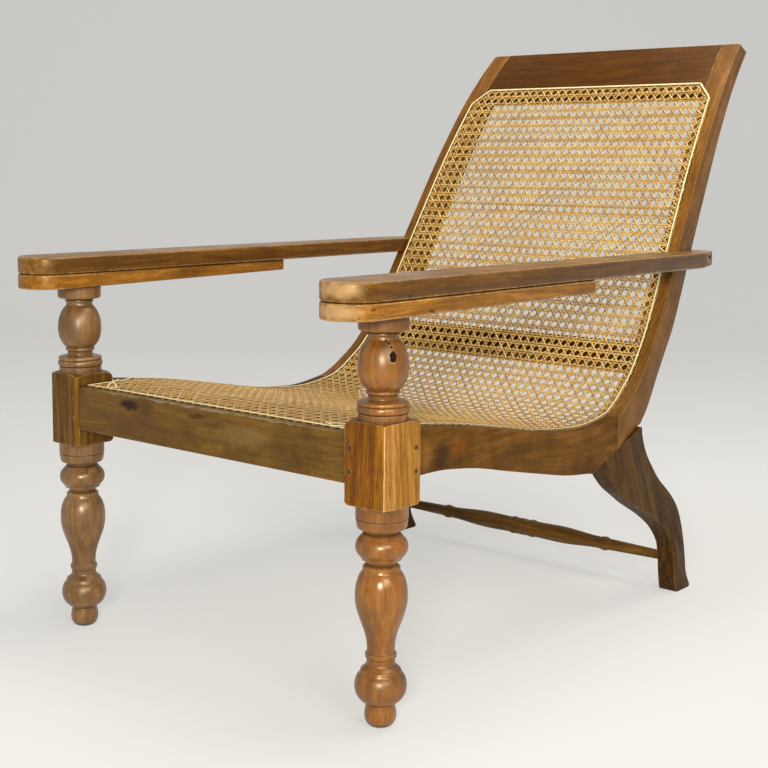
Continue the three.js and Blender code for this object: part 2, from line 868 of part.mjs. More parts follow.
function canePanel() {
  const faces = [];
  const quad = (a, b, c, d) => faces.push(a, b, c, a, c, d);
  const rings = cellRings();
  const placed = (ring, column, row, lift) => ring.map(([across, along]) => canePoint(
    (2 * (column + across)) / caneColumns - 1,
    row + along,
    lift,
  ));
  for (let column = 0; column < caneColumns; column += 1) {
    for (let row = 0; row < caneRows; row += 1) {
      const [topEdge, lowEdge] = [caneThickness, 0].map((lift) => placed(rings.border, column, row, lift));
      const [topHole, lowHole] = [caneThickness, 0].map((lift) => placed(rings.hole, column, row, lift));
      const outermost = [row === 0, column === caneColumns - 1, row === caneRows - 1, column === 0];
      for (let corner = 0; corner < topEdge.length; corner += 1) {
        const next = (corner + 1) % topEdge.length;
        quad(topEdge[corner], topEdge[next], topHole[next], topHole[corner]);
        quad(lowEdge[next], lowEdge[corner], lowHole[corner], lowHole[next]);
        quad(topHole[corner], topHole[next], lowHole[next], lowHole[corner]);
        if (outermost[Math.floor(half(corner))]) {
          quad(topEdge[next], topEdge[corner], lowEdge[corner], lowEdge[next]);
        }
      }
    }
  }
  return solidOf(new THREE.BufferGeometry().setFromPoints(faces));
}

// Binder strips lie along the border of the net, on top of it
function ribbon(sections) {
  const faces = [];
  const quad = (a, b, c, d) => faces.push(a, b, c, a, c, d);
  const first = sections[0];
  const last = sections[sections.length - 1];
  quad(...first);
  for (let step = 1; step < sections.length; step += 1) {
    const [near, far] = [sections[step - 1], sections[step]];
    for (let corner = 0; corner < near.length; corner += 1) {
      const next = (corner + 1) % near.length;
      quad(near[next], near[corner], far[corner], far[next]);
    }
  }
  quad(...[...last].reverse());
  return solidOf(new THREE.BufferGeometry().setFromPoints(faces));
}

const binderLow = caneThickness + binderLift;
const binderHigh = binderLow + binderThickness;

function sideBinder() {
  const sections = [];
  for (let row = 0; row <= caneRows; row += half(1)) {
    const inner = 1 - binderWidth / caneHalfWidth(row);
    sections.push([
      canePoint(1, row, binderLow),
      canePoint(1, row, binderHigh),
      canePoint(inner, row, binderHigh),
      canePoint(inner, row, binderLow),
    ]);
  }
  return ribbon(sections);
}

function crossBinder(row, inward) {
  const end = 1 - (binderWidth + caneCorner * Math.max(inward, 0) + seam) / caneHalfWidth(row);
  const inner = row + (inward * binderWidth) / rowLength;
  const sections = [-end, end].map((side) => [
    canePoint(side, Math.min(row, inner), binderLow),
    canePoint(side, Math.min(row, inner), binderHigh),
    canePoint(side, Math.max(row, inner), binderHigh),
    canePoint(side, Math.max(row, inner), binderLow),
  ]);
  return ribbon(sections);
}

// Assembly
const chair = new THREE.Group();

function add(name, geometry, material) {
  const mesh = new THREE.Mesh(geometry, material);
  mesh.name = name;
  chair.add(mesh);
}

function addPair(name, solid, material) {
  const geometry = geometryOf(solid);
  add(`${name}_right`, geometry, material);
  add(`${name}_left`, mirrored(geometry), material);
}

addPair('front_leg', frontLeg(), legWood);
addPair('arm', arm(), armWood);
addPair('leg_rest', legRest(), restWood);
addPair('seat_rail', seatRail(), sideWood);
addPair('back_stile', backStile(), sideWood);
addPair('rear_leg', rearLeg(), sideWood);
addPair('rear_leg_wing', rearLegWing(), sideWood);
['lower', 'upper'].forEach((place, row) => {
  addPair(`front_rail_peg_${place}`, frontPegs(pegRadius)[row], pegWood);
  addPair(`seat_rail_peg_${place}`, sidePegs(pegRadius)[row], pegWood);
});
addPair('arm_pin', armPin(armPinRadius, 0), pegWood);
addPair('arm_peg', armPeg(armPegRadius, 0), pegWood);
['front', 'rear'].forEach((place, row) => {
  addPair(`rear_leg_dowel_${place}`, legDowels(dowelRadius, 0)[row], pegWood);
});
addPair('side_binder', sideBinder(), binderStraw);
add('front_rail', geometryOf(frontRail()), railWood);
add('crest_rail', geometryOf(crestRail()), crestWood);
add('cross_rail', geometryOf(crossRail()), crestWood);
add('rear_stretcher', geometryOf(rearStretcher()), sideWood);
add('cane_panel', geometryOf(canePanel()), caneStraw);
add('front_binder', geometryOf(crossBinder(0, 1)), binderStraw);
add('crest_binder', geometryOf(crossBinder(caneRows, -1)), binderStraw);

// The origin lies on the floor, in the middle of the chair's length and width
const reach = new THREE.Box3().setFromObject(chair);
const middle = reach.getCenter(new THREE.Vector3());
chair.position.set(-middle.x, -middle.y, -reach.min.z);

export default chair;
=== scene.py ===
# %% [markdown]
# # A planter's chair in worn teak and cane
# This chair is a long, low armchair for a veranda: turned front legs, two flat arms with a
# swing-out leg rest under each, and one sweep of woven cane that is both seat and back.
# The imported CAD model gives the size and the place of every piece. Each cell below makes one kind
# of piece or one finish over it, first in words and then in code.

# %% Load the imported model
import math

import bpy
import bmesh
import numpy as np
from mathutils import Matrix, Vector


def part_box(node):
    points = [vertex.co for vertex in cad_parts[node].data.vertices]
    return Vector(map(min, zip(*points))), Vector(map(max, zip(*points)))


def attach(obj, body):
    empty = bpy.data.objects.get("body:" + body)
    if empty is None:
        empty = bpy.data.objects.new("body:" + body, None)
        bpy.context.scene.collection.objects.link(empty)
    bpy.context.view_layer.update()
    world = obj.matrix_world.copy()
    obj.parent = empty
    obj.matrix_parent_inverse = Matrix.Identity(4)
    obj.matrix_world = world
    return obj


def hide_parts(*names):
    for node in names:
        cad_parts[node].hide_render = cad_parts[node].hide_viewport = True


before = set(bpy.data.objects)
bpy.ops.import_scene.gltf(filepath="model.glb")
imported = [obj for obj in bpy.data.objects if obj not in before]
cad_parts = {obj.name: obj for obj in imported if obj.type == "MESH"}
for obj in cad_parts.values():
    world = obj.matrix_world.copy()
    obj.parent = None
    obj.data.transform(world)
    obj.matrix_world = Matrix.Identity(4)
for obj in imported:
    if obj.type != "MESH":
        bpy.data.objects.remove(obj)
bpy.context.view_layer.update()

# %% [markdown]
# ## Where things are
# All sizes below are millimetres, measured from the line between the two front legs. Blender wants
# metres in the CAD model's own frame, whose origin is in the middle of the chair's length, so one
# function makes the change for every point.

# %% From the chair's millimetres to the frame's metres
MM = 0.001
leg_low, leg_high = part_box("front_leg_right")
leg_row = (leg_low[1] + leg_high[1]) / 2


def in_frame(points):
    """Points in millimetres from the front legs' line, as metres in the frame."""
    places = np.array(points, float).reshape(-1, 3) * MM
    places[:, 1] += leg_row
    return places


print("front legs stand at y =", round(leg_row, 4), "m")

# %% [markdown]
# ## The camera
# The camera was found by fitting straight edges of the chair in the photograph: level arms, upright
# legs and a square block. It looks slightly down from the front right. The sensor's shift stands
# for a picture that was cropped off centre.

# %% Camera
camera_place = (1513.9, -1421.95, 768.31)
camera_azimuth, camera_down, camera_roll = 0.69607, 0.11966, 0.00875
lens_in_pixels, frame_side, axis_above_centre = 1392.8, 768, 50
sensor_width = 36.0

looking = Vector((
    -math.sin(camera_azimuth) * math.cos(camera_down),
    math.cos(camera_azimuth) * math.cos(camera_down),
    -math.sin(camera_down),
))
level_right = Vector((math.cos(camera_azimuth), math.sin(camera_azimuth), 0))
level_up = level_right.cross(looking)
right = level_right * math.cos(camera_roll) + level_up * math.sin(camera_roll)
up = right.cross(looking)


def new_object(name, data):
    """Put a camera, a lamp or a mesh into the scene."""
    made = bpy.data.objects.new(name, data)
    bpy.context.scene.collection.objects.link(made)
    return made


camera_data = bpy.data.cameras.new("photograph_camera")
camera_data.sensor_width = sensor_width
camera_data.lens = lens_in_pixels * sensor_width / frame_side
camera_data.shift_y = -axis_above_centre / frame_side
camera_data.clip_end = 100
camera = new_object("photograph_camera", camera_data)
turn = Matrix((right, up, -looking)).transposed()
camera.matrix_world = Matrix.Translation(in_frame(camera_place)[0]) @ turn.to_4x4()
bpy.context.scene.camera = camera
print("lens", round(camera_data.lens, 1), "mm")

# %% [markdown]
# ## Floor and light
# A pale floor curves up into a backdrop that stands far enough off for the chair to be seen from
# all round. It is one smooth sheet, so that no horizon shows behind the chair. To the camera and in
# reflections its paper is mixed with a plain colour, which keeps it pale far from the lamps, while
# the chair's shadow still falls on it. The room beyond the sheet has a plain colour of its own.
# One large soft lamp on the camera's right gives the bright right sides of the turned legs. A small
# one in front puts the highlights on their balls, and a large one hangs above. A weak one on the
# left and the pale room itself lift the shadows.

# %% Colours and nodes
VECTORS = "ShaderNodeVectorMath"


def linear(hex_colour, alpha=1.0):
    """An sRGB hex colour as the linear colour that the shaders work in."""
    shares = [int(hex_colour[i:i + 2], 16) / 255 for i in (1, 3, 5)]
    curve = [s / 12.92 if s <= 0.04045 else ((s + 0.055) / 1.055) ** 2.4 for s in shares]
    return (*curve, alpha)


def add(tree, kind, inputs=None, **settings):
    """Add a node with its settings. An input is a value, or another node's socket to link from."""
    node = tree.nodes.new(kind)
    for name, value in settings.items():
        setattr(node, name, value)
    for name, value in (inputs or {}).items():
        socket = node.inputs[name]
        if isinstance(value, bpy.types.NodeSocket):
            tree.links.new(value, socket)
        else:
            socket.default_value = value
    return node


def maths(tree, operation, *values, node="ShaderNodeMath"):
    """A sum on numbers, or with the vector node on vectors, as the socket that carries it."""
    return add(tree, node, dict(enumerate(values)), operation=operation).outputs[0]


def stops(node, pairs):
    """Set a colour ramp's stops from (place, colour) pairs."""
    ramp = node.color_ramp
    while len(ramp.elements) < len(pairs):
        ramp.elements.new(1.0)
    for element, (place, colour) in zip(ramp.elements, pairs):
        element.position = place
        element.color = colour
    return node.outputs["Color"]


def blank_material(name):
    material = bpy.data.materials.new(name)
    material.use_nodes = True
    material.node_tree.nodes.clear()
    return material, material.node_tree


print("sRGB mid grey is", round(linear("#808080")[0], 3), "in linear light")

# %% Floor
paper_colour, backdrop_colour, paper_share = "#dededc", "#f0f0ee", 0.47
floor_front, floor_back, floor_half, floor_rise, floor_bend = -6.5, 7.0, 14.0, 7.0, 3.2


def sweep_sheet():
    """The floor, a quarter-round bend and the wall behind, as one profile from front to back."""
    bend_steps = 24
    profile = [(floor_front, 0.0), (floor_back - floor_bend, 0.0)]
    for step in range(1, bend_steps + 1):
        angle = math.pi / 2 * step / bend_steps
        profile.append((
            floor_back - floor_bend + floor_bend * math.sin(angle),
            floor_bend * (1 - math.cos(angle)),
        ))
    profile.append((floor_back, floor_rise))
    across = Vector((math.cos(camera_azimuth), math.sin(camera_azimuth), 0))
    away = Vector((-math.sin(camera_azimuth), math.cos(camera_azimuth), 0))
    corners, faces = [], []
    for depth, height in profile:
        for side in (-floor_half, floor_half):
            corners.append(across * side + away * depth + Vector((0, 0, height)))
    for row in range(len(profile) - 1):
        first = 2 * row
        faces.append((first, first + 1, first + 3, first + 2))
    mesh = bpy.data.meshes.new("floor_sheet")
    mesh.from_pydata(corners, [], faces)
    mesh.shade_smooth()
    return mesh


def by_ray(tree, lighting, shown):
    """One shader for light that falls on the chair, another for what is seen or mirrored."""
    rays = add(tree, "ShaderNodeLightPath").outputs
    mirrored = maths(tree, "MAXIMUM", rays["Is Camera Ray"], rays["Is Glossy Ray"])
    seen = maths(tree, "MAXIMUM", mirrored, rays["Is Transmission Ray"])
    return add(tree, "ShaderNodeMixShader", {"Fac": seen, 1: lighting, 2: shown}).outputs["Shader"]


floor = new_object("floor_sheet", sweep_sheet())

floor_paint, tree = blank_material("pale_studio_paper")
paper = add(tree, "ShaderNodeBsdfDiffuse", {"Color": linear(paper_colour)}).outputs["BSDF"]
plain = add(tree, "ShaderNodeEmission", {"Color": linear(backdrop_colour), "Strength": 1.0})
shown = add(tree, "ShaderNodeMixShader", {
    "Fac": paper_share, 1: plain.outputs["Emission"], 2: paper,
})
add(tree, "ShaderNodeOutputMaterial", {"Surface": by_ray(tree, paper, shown.outputs["Shader"])})
floor.data.materials.append(floor_paint)
print("floor has", len(floor.data.polygons), "faces")

# %% Lamps and room
scene = bpy.context.scene
scene.view_settings.view_transform = "Standard"
room_light, room_strength, room_colour, lamp_colour = "#f4f2ee", 0.24, "#c8c8c5", "#fff8ee"
room = bpy.data.worlds.new("pale_room")
scene.world = room
room.use_nodes = True
tree = room.node_tree
tree.nodes.clear()
sky = add(tree, "ShaderNodeBackground", {"Color": linear(room_light), "Strength": room_strength})
far = add(tree, "ShaderNodeBackground", {"Color": linear(room_colour), "Strength": 1.0})
add(tree, "ShaderNodeOutputWorld", {
    "Surface": by_ray(tree, sky.outputs["Background"], far.outputs["Background"]),
})

# Place in metres, side of the square in metres, watts
aim = Vector((0, 0, 0.45))
lamps = {
    "key_lamp": ((3.2, -1.7, 2.3), 1.8, 66),
    "front_lamp": ((1.9, -2.8, 1.25), 0.5, 72),
    "fill_lamp": ((-2.6, -2.4, 1.7), 2.4, 6),
    "top_lamp": ((0.4, 0.4, 3.0), 1.8, 64),
}
for lamp_name, (place, size, watts) in lamps.items():
    lamp_data = bpy.data.lights.new(lamp_name, "AREA")
    lamp_data.shape = "SQUARE"
    lamp_data.size = size
    lamp_data.energy = watts
    lamp_data.color = linear(lamp_colour)[:3]
    lamp = new_object(lamp_name, lamp_data)
    lamp.location = place
    lamp.rotation_euler = (aim - Vector(place)).to_track_quat("-Z", "Y").to_euler()
print(len(lamps), "lamps")

# %% [markdown]
# ## The wood
# The chair is old teak or a like hardwood, planed or turned, oiled and waxed, and worn by hands.
# To the eye that is: a warm brown with darker growth bands along the board, fine dark pores, broad
# patches of patina, pale rubbed edges, and dark dirt with painted shade in every groove. All of it
# is made from noise in Object coordinates. The grain is noise that is stretched along the board,
# and the spacings are the real ones in millimetres. Stains, knots and a few painted highlights are
# blurred spots at places of their own. Worn edges come from the Bevel node, whose normal turns away
# from the true one only near an edge, and the dirt with painted shade from the Ambient Occlusion
# node, which is low in grooves.

# %% Mix colours, and noise in millimetres


def blend(tree, share, below, above, how="MIX"):
    """Mix two colours by a share."""
    return add(tree, "ShaderNodeMix", {"Factor": share, 6: below, 7: above},
               data_type="RGBA", blend_type=how).outputs[2]


def between(tree, value, low, high, to_low=0.0, to_high=1.0):
    """Turn a range of values into a share, held at both ends."""
    return add(tree, "ShaderNodeMapRange", {
        "Value": value, "From Min": low, "From Max": high, "To Min": to_low, "To Max": to_high,
    }).outputs["Result"]


def mottle(tree, place, size_mm, detail=3.0, roughness=0.6):
    """Cloudy noise with patches of about so many millimetres."""
    return add(tree, "ShaderNodeTexNoise", {
        "Vector": place, "Scale": 1 / (size_mm * MM), "Detail": detail, "Roughness": roughness,
    }).outputs["Fac"]


print("colour and noise helpers are ready")

# %% Teak


def teak(name, pale, brown, dark, grain_turn=(0, 0, 0), band_mm=9.0, rough=0.4, wear=0.5,
         stain=0.35, side=None, grain=1.0, shine=0.25, spots=(), rub="#e2be86", glint="#ffdfb0",
         dirt_and_shade_from=0.78):
    """Waxed old teak. grain_turn turns the board's length onto X. side tints the faces across X,
    spots are stains, knots and painted highlights as (centre and size in millimetres, colour,
    strength), rub is the colour of worn edges, glint that of the shine, and dirt_and_shade_from how
    open a groove still gets dark dirt and painted shade."""
    material, tree = blank_material(name)
    coordinates = add(tree, "ShaderNodeTexCoord")
    place = coordinates.outputs["Object"]
    board = add(tree, "ShaderNodeMapping", {
        "Vector": place, "Rotation": [math.radians(a) for a in grain_turn],
    }).outputs["Vector"]
    bend = add(tree, "ShaderNodeTexNoise", {"Vector": board, "Scale": 4.0, "Detail": 1.0})
    bent = maths(tree, "MULTIPLY_ADD", bend.outputs["Color"], (0.0, 0.035, 0.035), board,
                 node=VECTORS)

    def stretched(across_mm, ratio, detail):
        squeezed = add(tree, "ShaderNodeMapping", {"Vector": bent, "Scale": (1 / ratio, 1.0, 1.0)})
        return mottle(tree, squeezed.outputs["Vector"], across_mm, detail)

    bands = stretched(band_mm, 22, 2.0)
    fibre = stretched(1.5, 30, 2.0)
    pores = stretched(1.0, 14, 1.0)
    patches = mottle(tree, place, 75, 4.0, 0.6)
    scuffs = mottle(tree, place, 11, 4.0, 0.68)

    spread = 0.24 / max(grain, 0.3)
    base = stops(add(tree, "ShaderNodeValToRGB", {"Fac": bands}), [
        (max(0.48 - spread, 0.0), linear(dark)), (0.48, linear(brown)),
        (min(0.5 + spread, 1.0), linear(pale)),
    ])
    lines = stops(add(tree, "ShaderNodeValToRGB", {"Fac": fibre}), [
        (0.32, linear("#a08a6c")), (0.58, linear("#ffffff")),
    ])
    dots = stops(add(tree, "ShaderNodeValToRGB", {"Fac": pores}), [
        (0.28, linear("#4e3620")), (0.36, linear("#ffffff")),
    ])
    fine = 0.25 + 0.45 * grain
    fibred = blend(tree, fine, base, lines, "MULTIPLY")
    pored = blend(tree, fine, fibred, dots, "MULTIPLY")
    patched = blend(tree, between(tree, patches, 0.42, 0.68, 0.0, stain), pored, linear(dark))
    faded = blend(tree, between(tree, scuffs, 0.6, 0.78, 0.0, 0.5 * wear), patched, linear(pale))
    if side:
        facing = add(tree, "ShaderNodeSeparateXYZ", {"Vector": coordinates.outputs["Normal"]})
        share = between(tree, maths(tree, "ABSOLUTE", facing.outputs["X"]), 0.55, 0.95)
        faded = blend(tree, share, faded, linear(side), "MULTIPLY")

    ragged = 0.016
    fray = add(tree, "ShaderNodeTexNoise", {"Vector": place, "Scale": 60.0, "Detail": 4.0})
    rough_place = maths(tree, "MULTIPLY_ADD", fray.outputs["Color"], (ragged, ragged, ragged),
                        place, node=VECTORS)
    for centre, size, colour, strength in spots:
        middle = in_frame(centre)[0] + ragged / 2
        apart = maths(tree, "SUBTRACT", rough_place, tuple(middle), node=VECTORS)
        measured = maths(tree, "MULTIPLY", apart, tuple(1 / (length * MM) for length in size),
                         node=VECTORS)
        away = add(tree, VECTORS, {0: measured}, operation="LENGTH").outputs["Value"]
        share = between(tree, away, 1.1, 0.5, 0.0, strength)
        faded = blend(tree, share, faded, linear(colour))

    edge = add(tree, "ShaderNodeBevel", {"Radius": 2.6 * MM}, samples=4).outputs["Normal"]
    flat = add(tree, "ShaderNodeNewGeometry").outputs["Normal"]
    alike = add(tree, VECTORS, {0: edge, 1: flat}, operation="DOT_PRODUCT").outputs["Value"]
    rubbed = between(tree, scuffs, 0.36, 0.62, 0.1 * wear, wear)
    worn_share = maths(tree, "MULTIPLY", between(tree, alike, 0.998, 0.93), rubbed)
    worn = blend(tree, worn_share, faded, linear(rub))

    # Dark dirt and painted shade: near-black laid over the colour where Ambient Occlusion finds a
    # groove
    hidden = add(tree, "ShaderNodeAmbientOcclusion", {"Distance": 8.0 * MM}, samples=6)
    dirt_and_shade_share = between(tree, hidden.outputs["AO"], dirt_and_shade_from, dirt_and_shade_from - 0.5, 0.0, 0.9)
    with_dirt_and_shade = blend(tree, dirt_and_shade_share, worn, linear("#1d1006"))

    dull = between(tree, patches, 0.3, 0.7, rough - 0.06, rough + 0.12)
    bump = add(tree, "ShaderNodeBump", {
        "Height": maths(tree, "MULTIPLY_ADD", fibre, 0.6, pores), "Strength": 0.22 * grain,
        "Distance": 0.5 * MM,
    })
    shader = add(tree, "ShaderNodeBsdfPrincipled", {
        "Base Color": with_dirt_and_shade, "Roughness": dull, "Normal": bump.outputs["Normal"],
        "IOR": 1.45, "Specular IOR Level": shine, "Specular Tint": linear(glint),
    })
    add(tree, "ShaderNodeOutputMaterial", {"Surface": shader.outputs["BSDF"]})
    return material


print("a finish for teak is ready")

# %% One wood for each kind of piece
# The turn that lays a board's length along X: lengths along Z, along Y, along X as it is, and
# along the sloping stile and rear leg
UPRIGHT, LENGTHWISE, ACROSS = (0, 90, 0), (0, 0, -90), (0, 0, 0)
ALONG_STILE, ALONG_REAR_LEG = (-52, 0, -90), (62, 0, -90)

# Dark marks along the arm, and a pale patch on its round front end: worn, with a painted highlight
arm_marks_and_highlight = [
    ((372, -3, 601), (7, 4, 7), "#2a1606", 0.9), ((330, -112, 612), (60, 34, 12), "#dcb884", 0.4),
    ((352, 866, 612), (30, 18, 16), "#8c8478", 0.6), ((372, 320, 602), (6, 90, 16), "#4c2e0c", 0.4),
]
# Knots on the leg rest, and a pale patch on its round front end: worn, with a painted highlight
rest_knots_and_highlight = [
    ((372, -76, 586), (7, 5, 3), "#3a1c08", 0.9), ((372, 46, 576), (7, 6, 3), "#3a1c08", 0.9),
    ((372, 121, 573), (7, 6, 3), "#4a2408", 0.8), ((372, 302, 575), (7, 5, 3), "#3a1c08", 0.8),
    ((330, -112, 582), (60, 34, 12), "#e6c692", 0.35),
]
rail_stains = [
    ((-164, -33, 397), (24, 12, 9), "#1e0c06", 0.95), ((-8, -33, 397), (22, 9, 5), "#2c1a0e", 0.6),
    ((90, -33, 380), (60, 10, 18), "#8c7444", 0.35),
    ((-140, -33, 374), (60, 10, 16), "#5c3422", 0.5),
    ((0, -33, 411), (300, 6, 2.4), "#8a8270", 0.6),
]
seat_stains = [
    ((341, 112, 362), (14, 16, 26), "#2e1808", 0.7),
    ((341, 152, 372), (14, 26, 16), "#80480f", 0.45),
    ((341, 300, 340), (14, 60, 14), "#3c2408", 0.4), ((341, 70, 372), (14, 22, 24), "#8c6428", 0.4),
]
waxed = {"shine": 1.0, "glint": "#ffecd0", "dirt_and_shade_from": 0.95}
woods = {
    "turned": teak("turned_teak", "#b07a2a", "#865216", "#462606", UPRIGHT, 10, 0.3, 0.35, 0.75,
                   grain=0.25, **waxed),
    "turned_left": teak("dusty_turned_teak", "#a68050", "#7c5830", "#442c14", UPRIGHT, 10, 0.31,
                        0.35, 0.65, grain=0.3, **waxed),
    "block": teak("block_teak", "#9c641e", "#7c4a10", "#46260a", UPRIGHT, 7, 0.38, 0.35, 0.3,
                  grain=0.9),
    "block_left": teak("dark_block_teak", "#84602a", "#644414", "#3a2408", UPRIGHT, 7, 0.38, 0.35,
                       0.35, grain=0.9),
    # Painted light: paler copies of the block's teak for the right block's facets and side face
    "block_side_painted_light": teak("block_side_teak", "#bc8a3a", "#9a6a26", "#5e3e0e", UPRIGHT, 7, 0.38, 0.35,
                       0.2, grain=0.7),
    "facet": teak("planed_facet_teak", "#b27a2c", "#905e1a", "#62390c", UPRIGHT, 6, 0.38, 0.35,
                  0.2, grain=0.9),
    "facet_side_painted_light": teak("planed_side_teak", "#c89650", "#a4743a", "#6e4a1e", UPRIGHT, 6, 0.38, 0.35,
                       0.2, grain=0.8),
    "left_corner": teak("left_corner_teak", "#96702e", "#785018", "#4a300c", UPRIGHT, 6, 0.38, 0.3,
                        0.2, grain=0.8),
    "arris": teak("rubbed_arris_teak", "#ecc484", "#d4a260", "#a87638", UPRIGHT, 6, 0.34, 0.3, 0.1,
                  grain=0.5),
    "arm": teak("arm_teak", "#a87c36", "#7c541c", "#482c0c", LENGTHWISE, 9, 0.32, 1.0, 0.5,
                side="#c4b88e", grain=0.7, shine=0.6, spots=arm_marks_and_highlight),
    "rest": teak("leg_rest_teak", "#be8436", "#8e5e1a", "#5a3810", LENGTHWISE, 8, 0.36, 1.0, 0.4,
                 grain=0.7, shine=0.5, spots=rest_knots_and_highlight),
    "rail": teak("front_rail_teak", "#846628", "#6a4e20", "#44301a", ACROSS, 11, 0.46, 0.3, 0.8,
                 grain=0.45, spots=rail_stains, rub="#a88c58"),
    "side": teak("side_frame_teak", "#8c6020", "#66420f", "#3a2406", LENGTHWISE, 9, 0.56, 0.5, 0.7,
                 grain=0.45, spots=seat_stains, rub="#9a7034"),
    "stile": teak("back_stile_teak", "#a06c2e", "#7c521c", "#482c0c", ALONG_STILE, 9, 0.4, 0.6,
                  0.45, grain=0.6, shine=0.3, rub="#c49656"),
    "leg": teak("rear_leg_teak", "#6c4c1a", "#42280a", "#241402", ALONG_REAR_LEG, 9, 0.5, 0.6, 0.5,
                grain=0.8, rub="#94703c"),
    "crest": teak("crest_teak", "#684008", "#522f06", "#341c02", ACROSS, 8, 0.4, 0.5, 0.35,
                  grain=0.6, shine=0.12),
    "stretcher": teak("stretcher_teak", "#8a6830", "#60441c", "#36260e", ACROSS, 12, 0.4, 0.9, 0.4,
                      grain=0.7),
}
print(len(woods), "woods")

# %% [markdown]
# ## The cane
# Cane is the bark of rattan split into strips about 2 mm wide. The outer side is smooth and
# slightly glossy, the colour of straw, and browns with age, more on some strips than on others.
# Each strand keeps a number of its own, its tone, which the material reads to vary the colour from
# strand to strand. The bright binder strip round the border is a wider and newer-looking strip.

# %% Cane and binder


def cane_strip(name, pale, brown, rough):
    """Split cane, glossy and pale where it is new, brown where it is old, and with painted
    shade where it lies deep.
    """
    material, tree = blank_material(name)
    place = add(tree, "ShaderNodeTexCoord").outputs["Object"]
    tone = add(tree, "ShaderNodeAttribute", attribute_name="tone").outputs["Fac"]
    flecks = mottle(tree, place, 9, 3.0, 0.5)
    age = mottle(tree, place, 190, 2.0, 0.5)
    spread = between(tree, maths(tree, "MULTIPLY_ADD", flecks, 0.7, tone), 0.15, 1.35)
    strip = blend(tree, spread, linear(pale), linear(brown))
    aged = blend(tree, between(tree, age, 0.45, 0.75, 0.0, 0.5), strip, linear(brown))
    # Painted shade: a dark brown laid where Ambient Occlusion finds a strand deep in the weave
    hidden = add(tree, "ShaderNodeAmbientOcclusion", {"Distance": 4.5 * MM}, samples=4)
    shade = between(tree, hidden.outputs["AO"], 0.9, 0.3, 0.0, 0.75)
    shaded = blend(tree, shade, aged, linear("#5a3c14"))
    shader = add(tree, "ShaderNodeBsdfPrincipled", {
        "Base Color": shaded, "Roughness": rough, "IOR": 1.5,
    })
    add(tree, "ShaderNodeOutputMaterial", {"Surface": shader.outputs["BSDF"]})
    return material


cane = cane_strip("split_cane", "#f8d686", "#b98838", 0.38)
binder_cane = cane_strip("binder_cane", "#fff0bc", "#ecce88", 0.36)
peg_wood = teak("peg_end_grain", "#5a3a1e", "#3f2712", "#241508", ACROSS, 2.5, 0.55, 0.2, 0.2)
# Near-black teak that lines the dents and colours the discs that stand for holes: dark dirt and
# painted shade
dent_dirt_and_hole_shade = teak("drilled_hole_dirt", "#2c1b0e", "#1e120a", "#120a05", ACROSS, 2.5, 0.75, 0.1, 0.1)
print(cane.name, binder_cane.name, peg_wood.name, dent_dirt_and_hole_shade.name)

# %% [markdown]
# ## The turned front legs
# A turned leg is a profile spun round an axis. The profile is written as rows of a curve's name, a
# share of the height and a share of the largest radius, read off the photograph: rings, a ball, a
# long belly and thin necks. Between them stands a square block, left unturned for the rails'
# joints, with its outer corner planed to two facets that meet in a rubbed arris. On the right block
# the facets and the side face take ever paler copies of its teak: painted light, brighter as a face
# turns to the right. Spinning in mesh code keeps full control of the rings' corners, where a Screw
# modifier would need a curve object for every turning. Dents are cut by a Boolean with a
# drop-shaped tool, whose near-black teak lines each dent as dark dirt and painted shade.

# %% Turned profiles
leg_place, leg_radius = 325.0, 36.5
block_half, block_bottom, block_top = 36.5, 312.5, 427.0
collar_top, arm_bottom = 569.8, 594.5

lower_turning_shares = [
    ("line", 0, 0.3), ("crown", 0.052, 0.615), ("line", 0.072, 0.6), ("line", 0.1, 0.545),
    ("line", 0.106, 0.6), ("bulge", 0.184, 1), ("round", 0.24, 0.835), ("line", 0.244, 0.81),
    ("line", 0.252, 0.785), ("swell", 0.288, 0.545), ("line", 0.307, 0.545), ("line", 0.316, 0.6),
    ("line", 0.332, 0.6), ("line", 0.34, 0.53), ("line", 0.358, 0.535), ("swell", 0.586, 1),
    ("line", 0.6, 1), ("round", 0.702, 0.745), ("line", 0.706, 0.72), ("line", 0.724, 0.71),
    ("line", 0.741, 0.57), ("line", 0.748, 0.575), ("line", 0.757, 0.76), ("line", 0.774, 0.84),
    ("bulge", 0.814, 1), ("round", 0.852, 0.87), ("line", 0.857, 0.835), ("line", 0.881, 0.655),
    ("line", 0.886, 0.66), ("line", 0.894, 0.85), ("crown", 0.911, 0.955), ("line", 0.928, 0.985),
    ("line", 0.938, 0.985), ("line", 0.941, 0.96), ("line", 0.944, 1), ("line", 1.002, 1),
]
upper_turning_shares = [
    ("line", -0.002, 0.93), ("line", 0.08, 0.93), ("line", 0.087, 0.9), ("line", 0.092, 0.94),
    ("bulge", 0.122, 0.99), ("round", 0.153, 0.95), ("line", 0.158, 0.925), ("line", 0.163, 0.94),
    ("bulge", 0.176, 0.965), ("round", 0.194, 0.93), ("line", 0.202, 0.87), ("line", 0.209, 0.62),
    ("line", 0.218, 0.565), ("line", 0.248, 0.545), ("line", 0.262, 0.57), ("line", 0.27, 0.62),
    ("bulge", 0.281, 0.645), ("round", 0.296, 0.62), ("line", 0.302, 0.61), ("bulge", 0.518, 0.957),
    ("line", 0.53, 0.957), ("round", 0.782, 0.6), ("line", 0.792, 0.58), ("line", 0.815, 0.575),
    ("line", 0.823, 0.6), ("bulge", 0.835, 0.62), ("round", 0.85, 0.6), ("line", 0.86, 0.64),
    ("line", 0.868, 0.88), ("bulge", 0.892, 0.95), ("line", 1, 0.957),
]
short_arc = math.pi / 3


def arc_up(t):
    return math.sin(short_arc * t) / math.sin(short_arc)


def arc_in(t):
    return (1 - math.cos(short_arc * t)) / (1 - math.cos(short_arc))


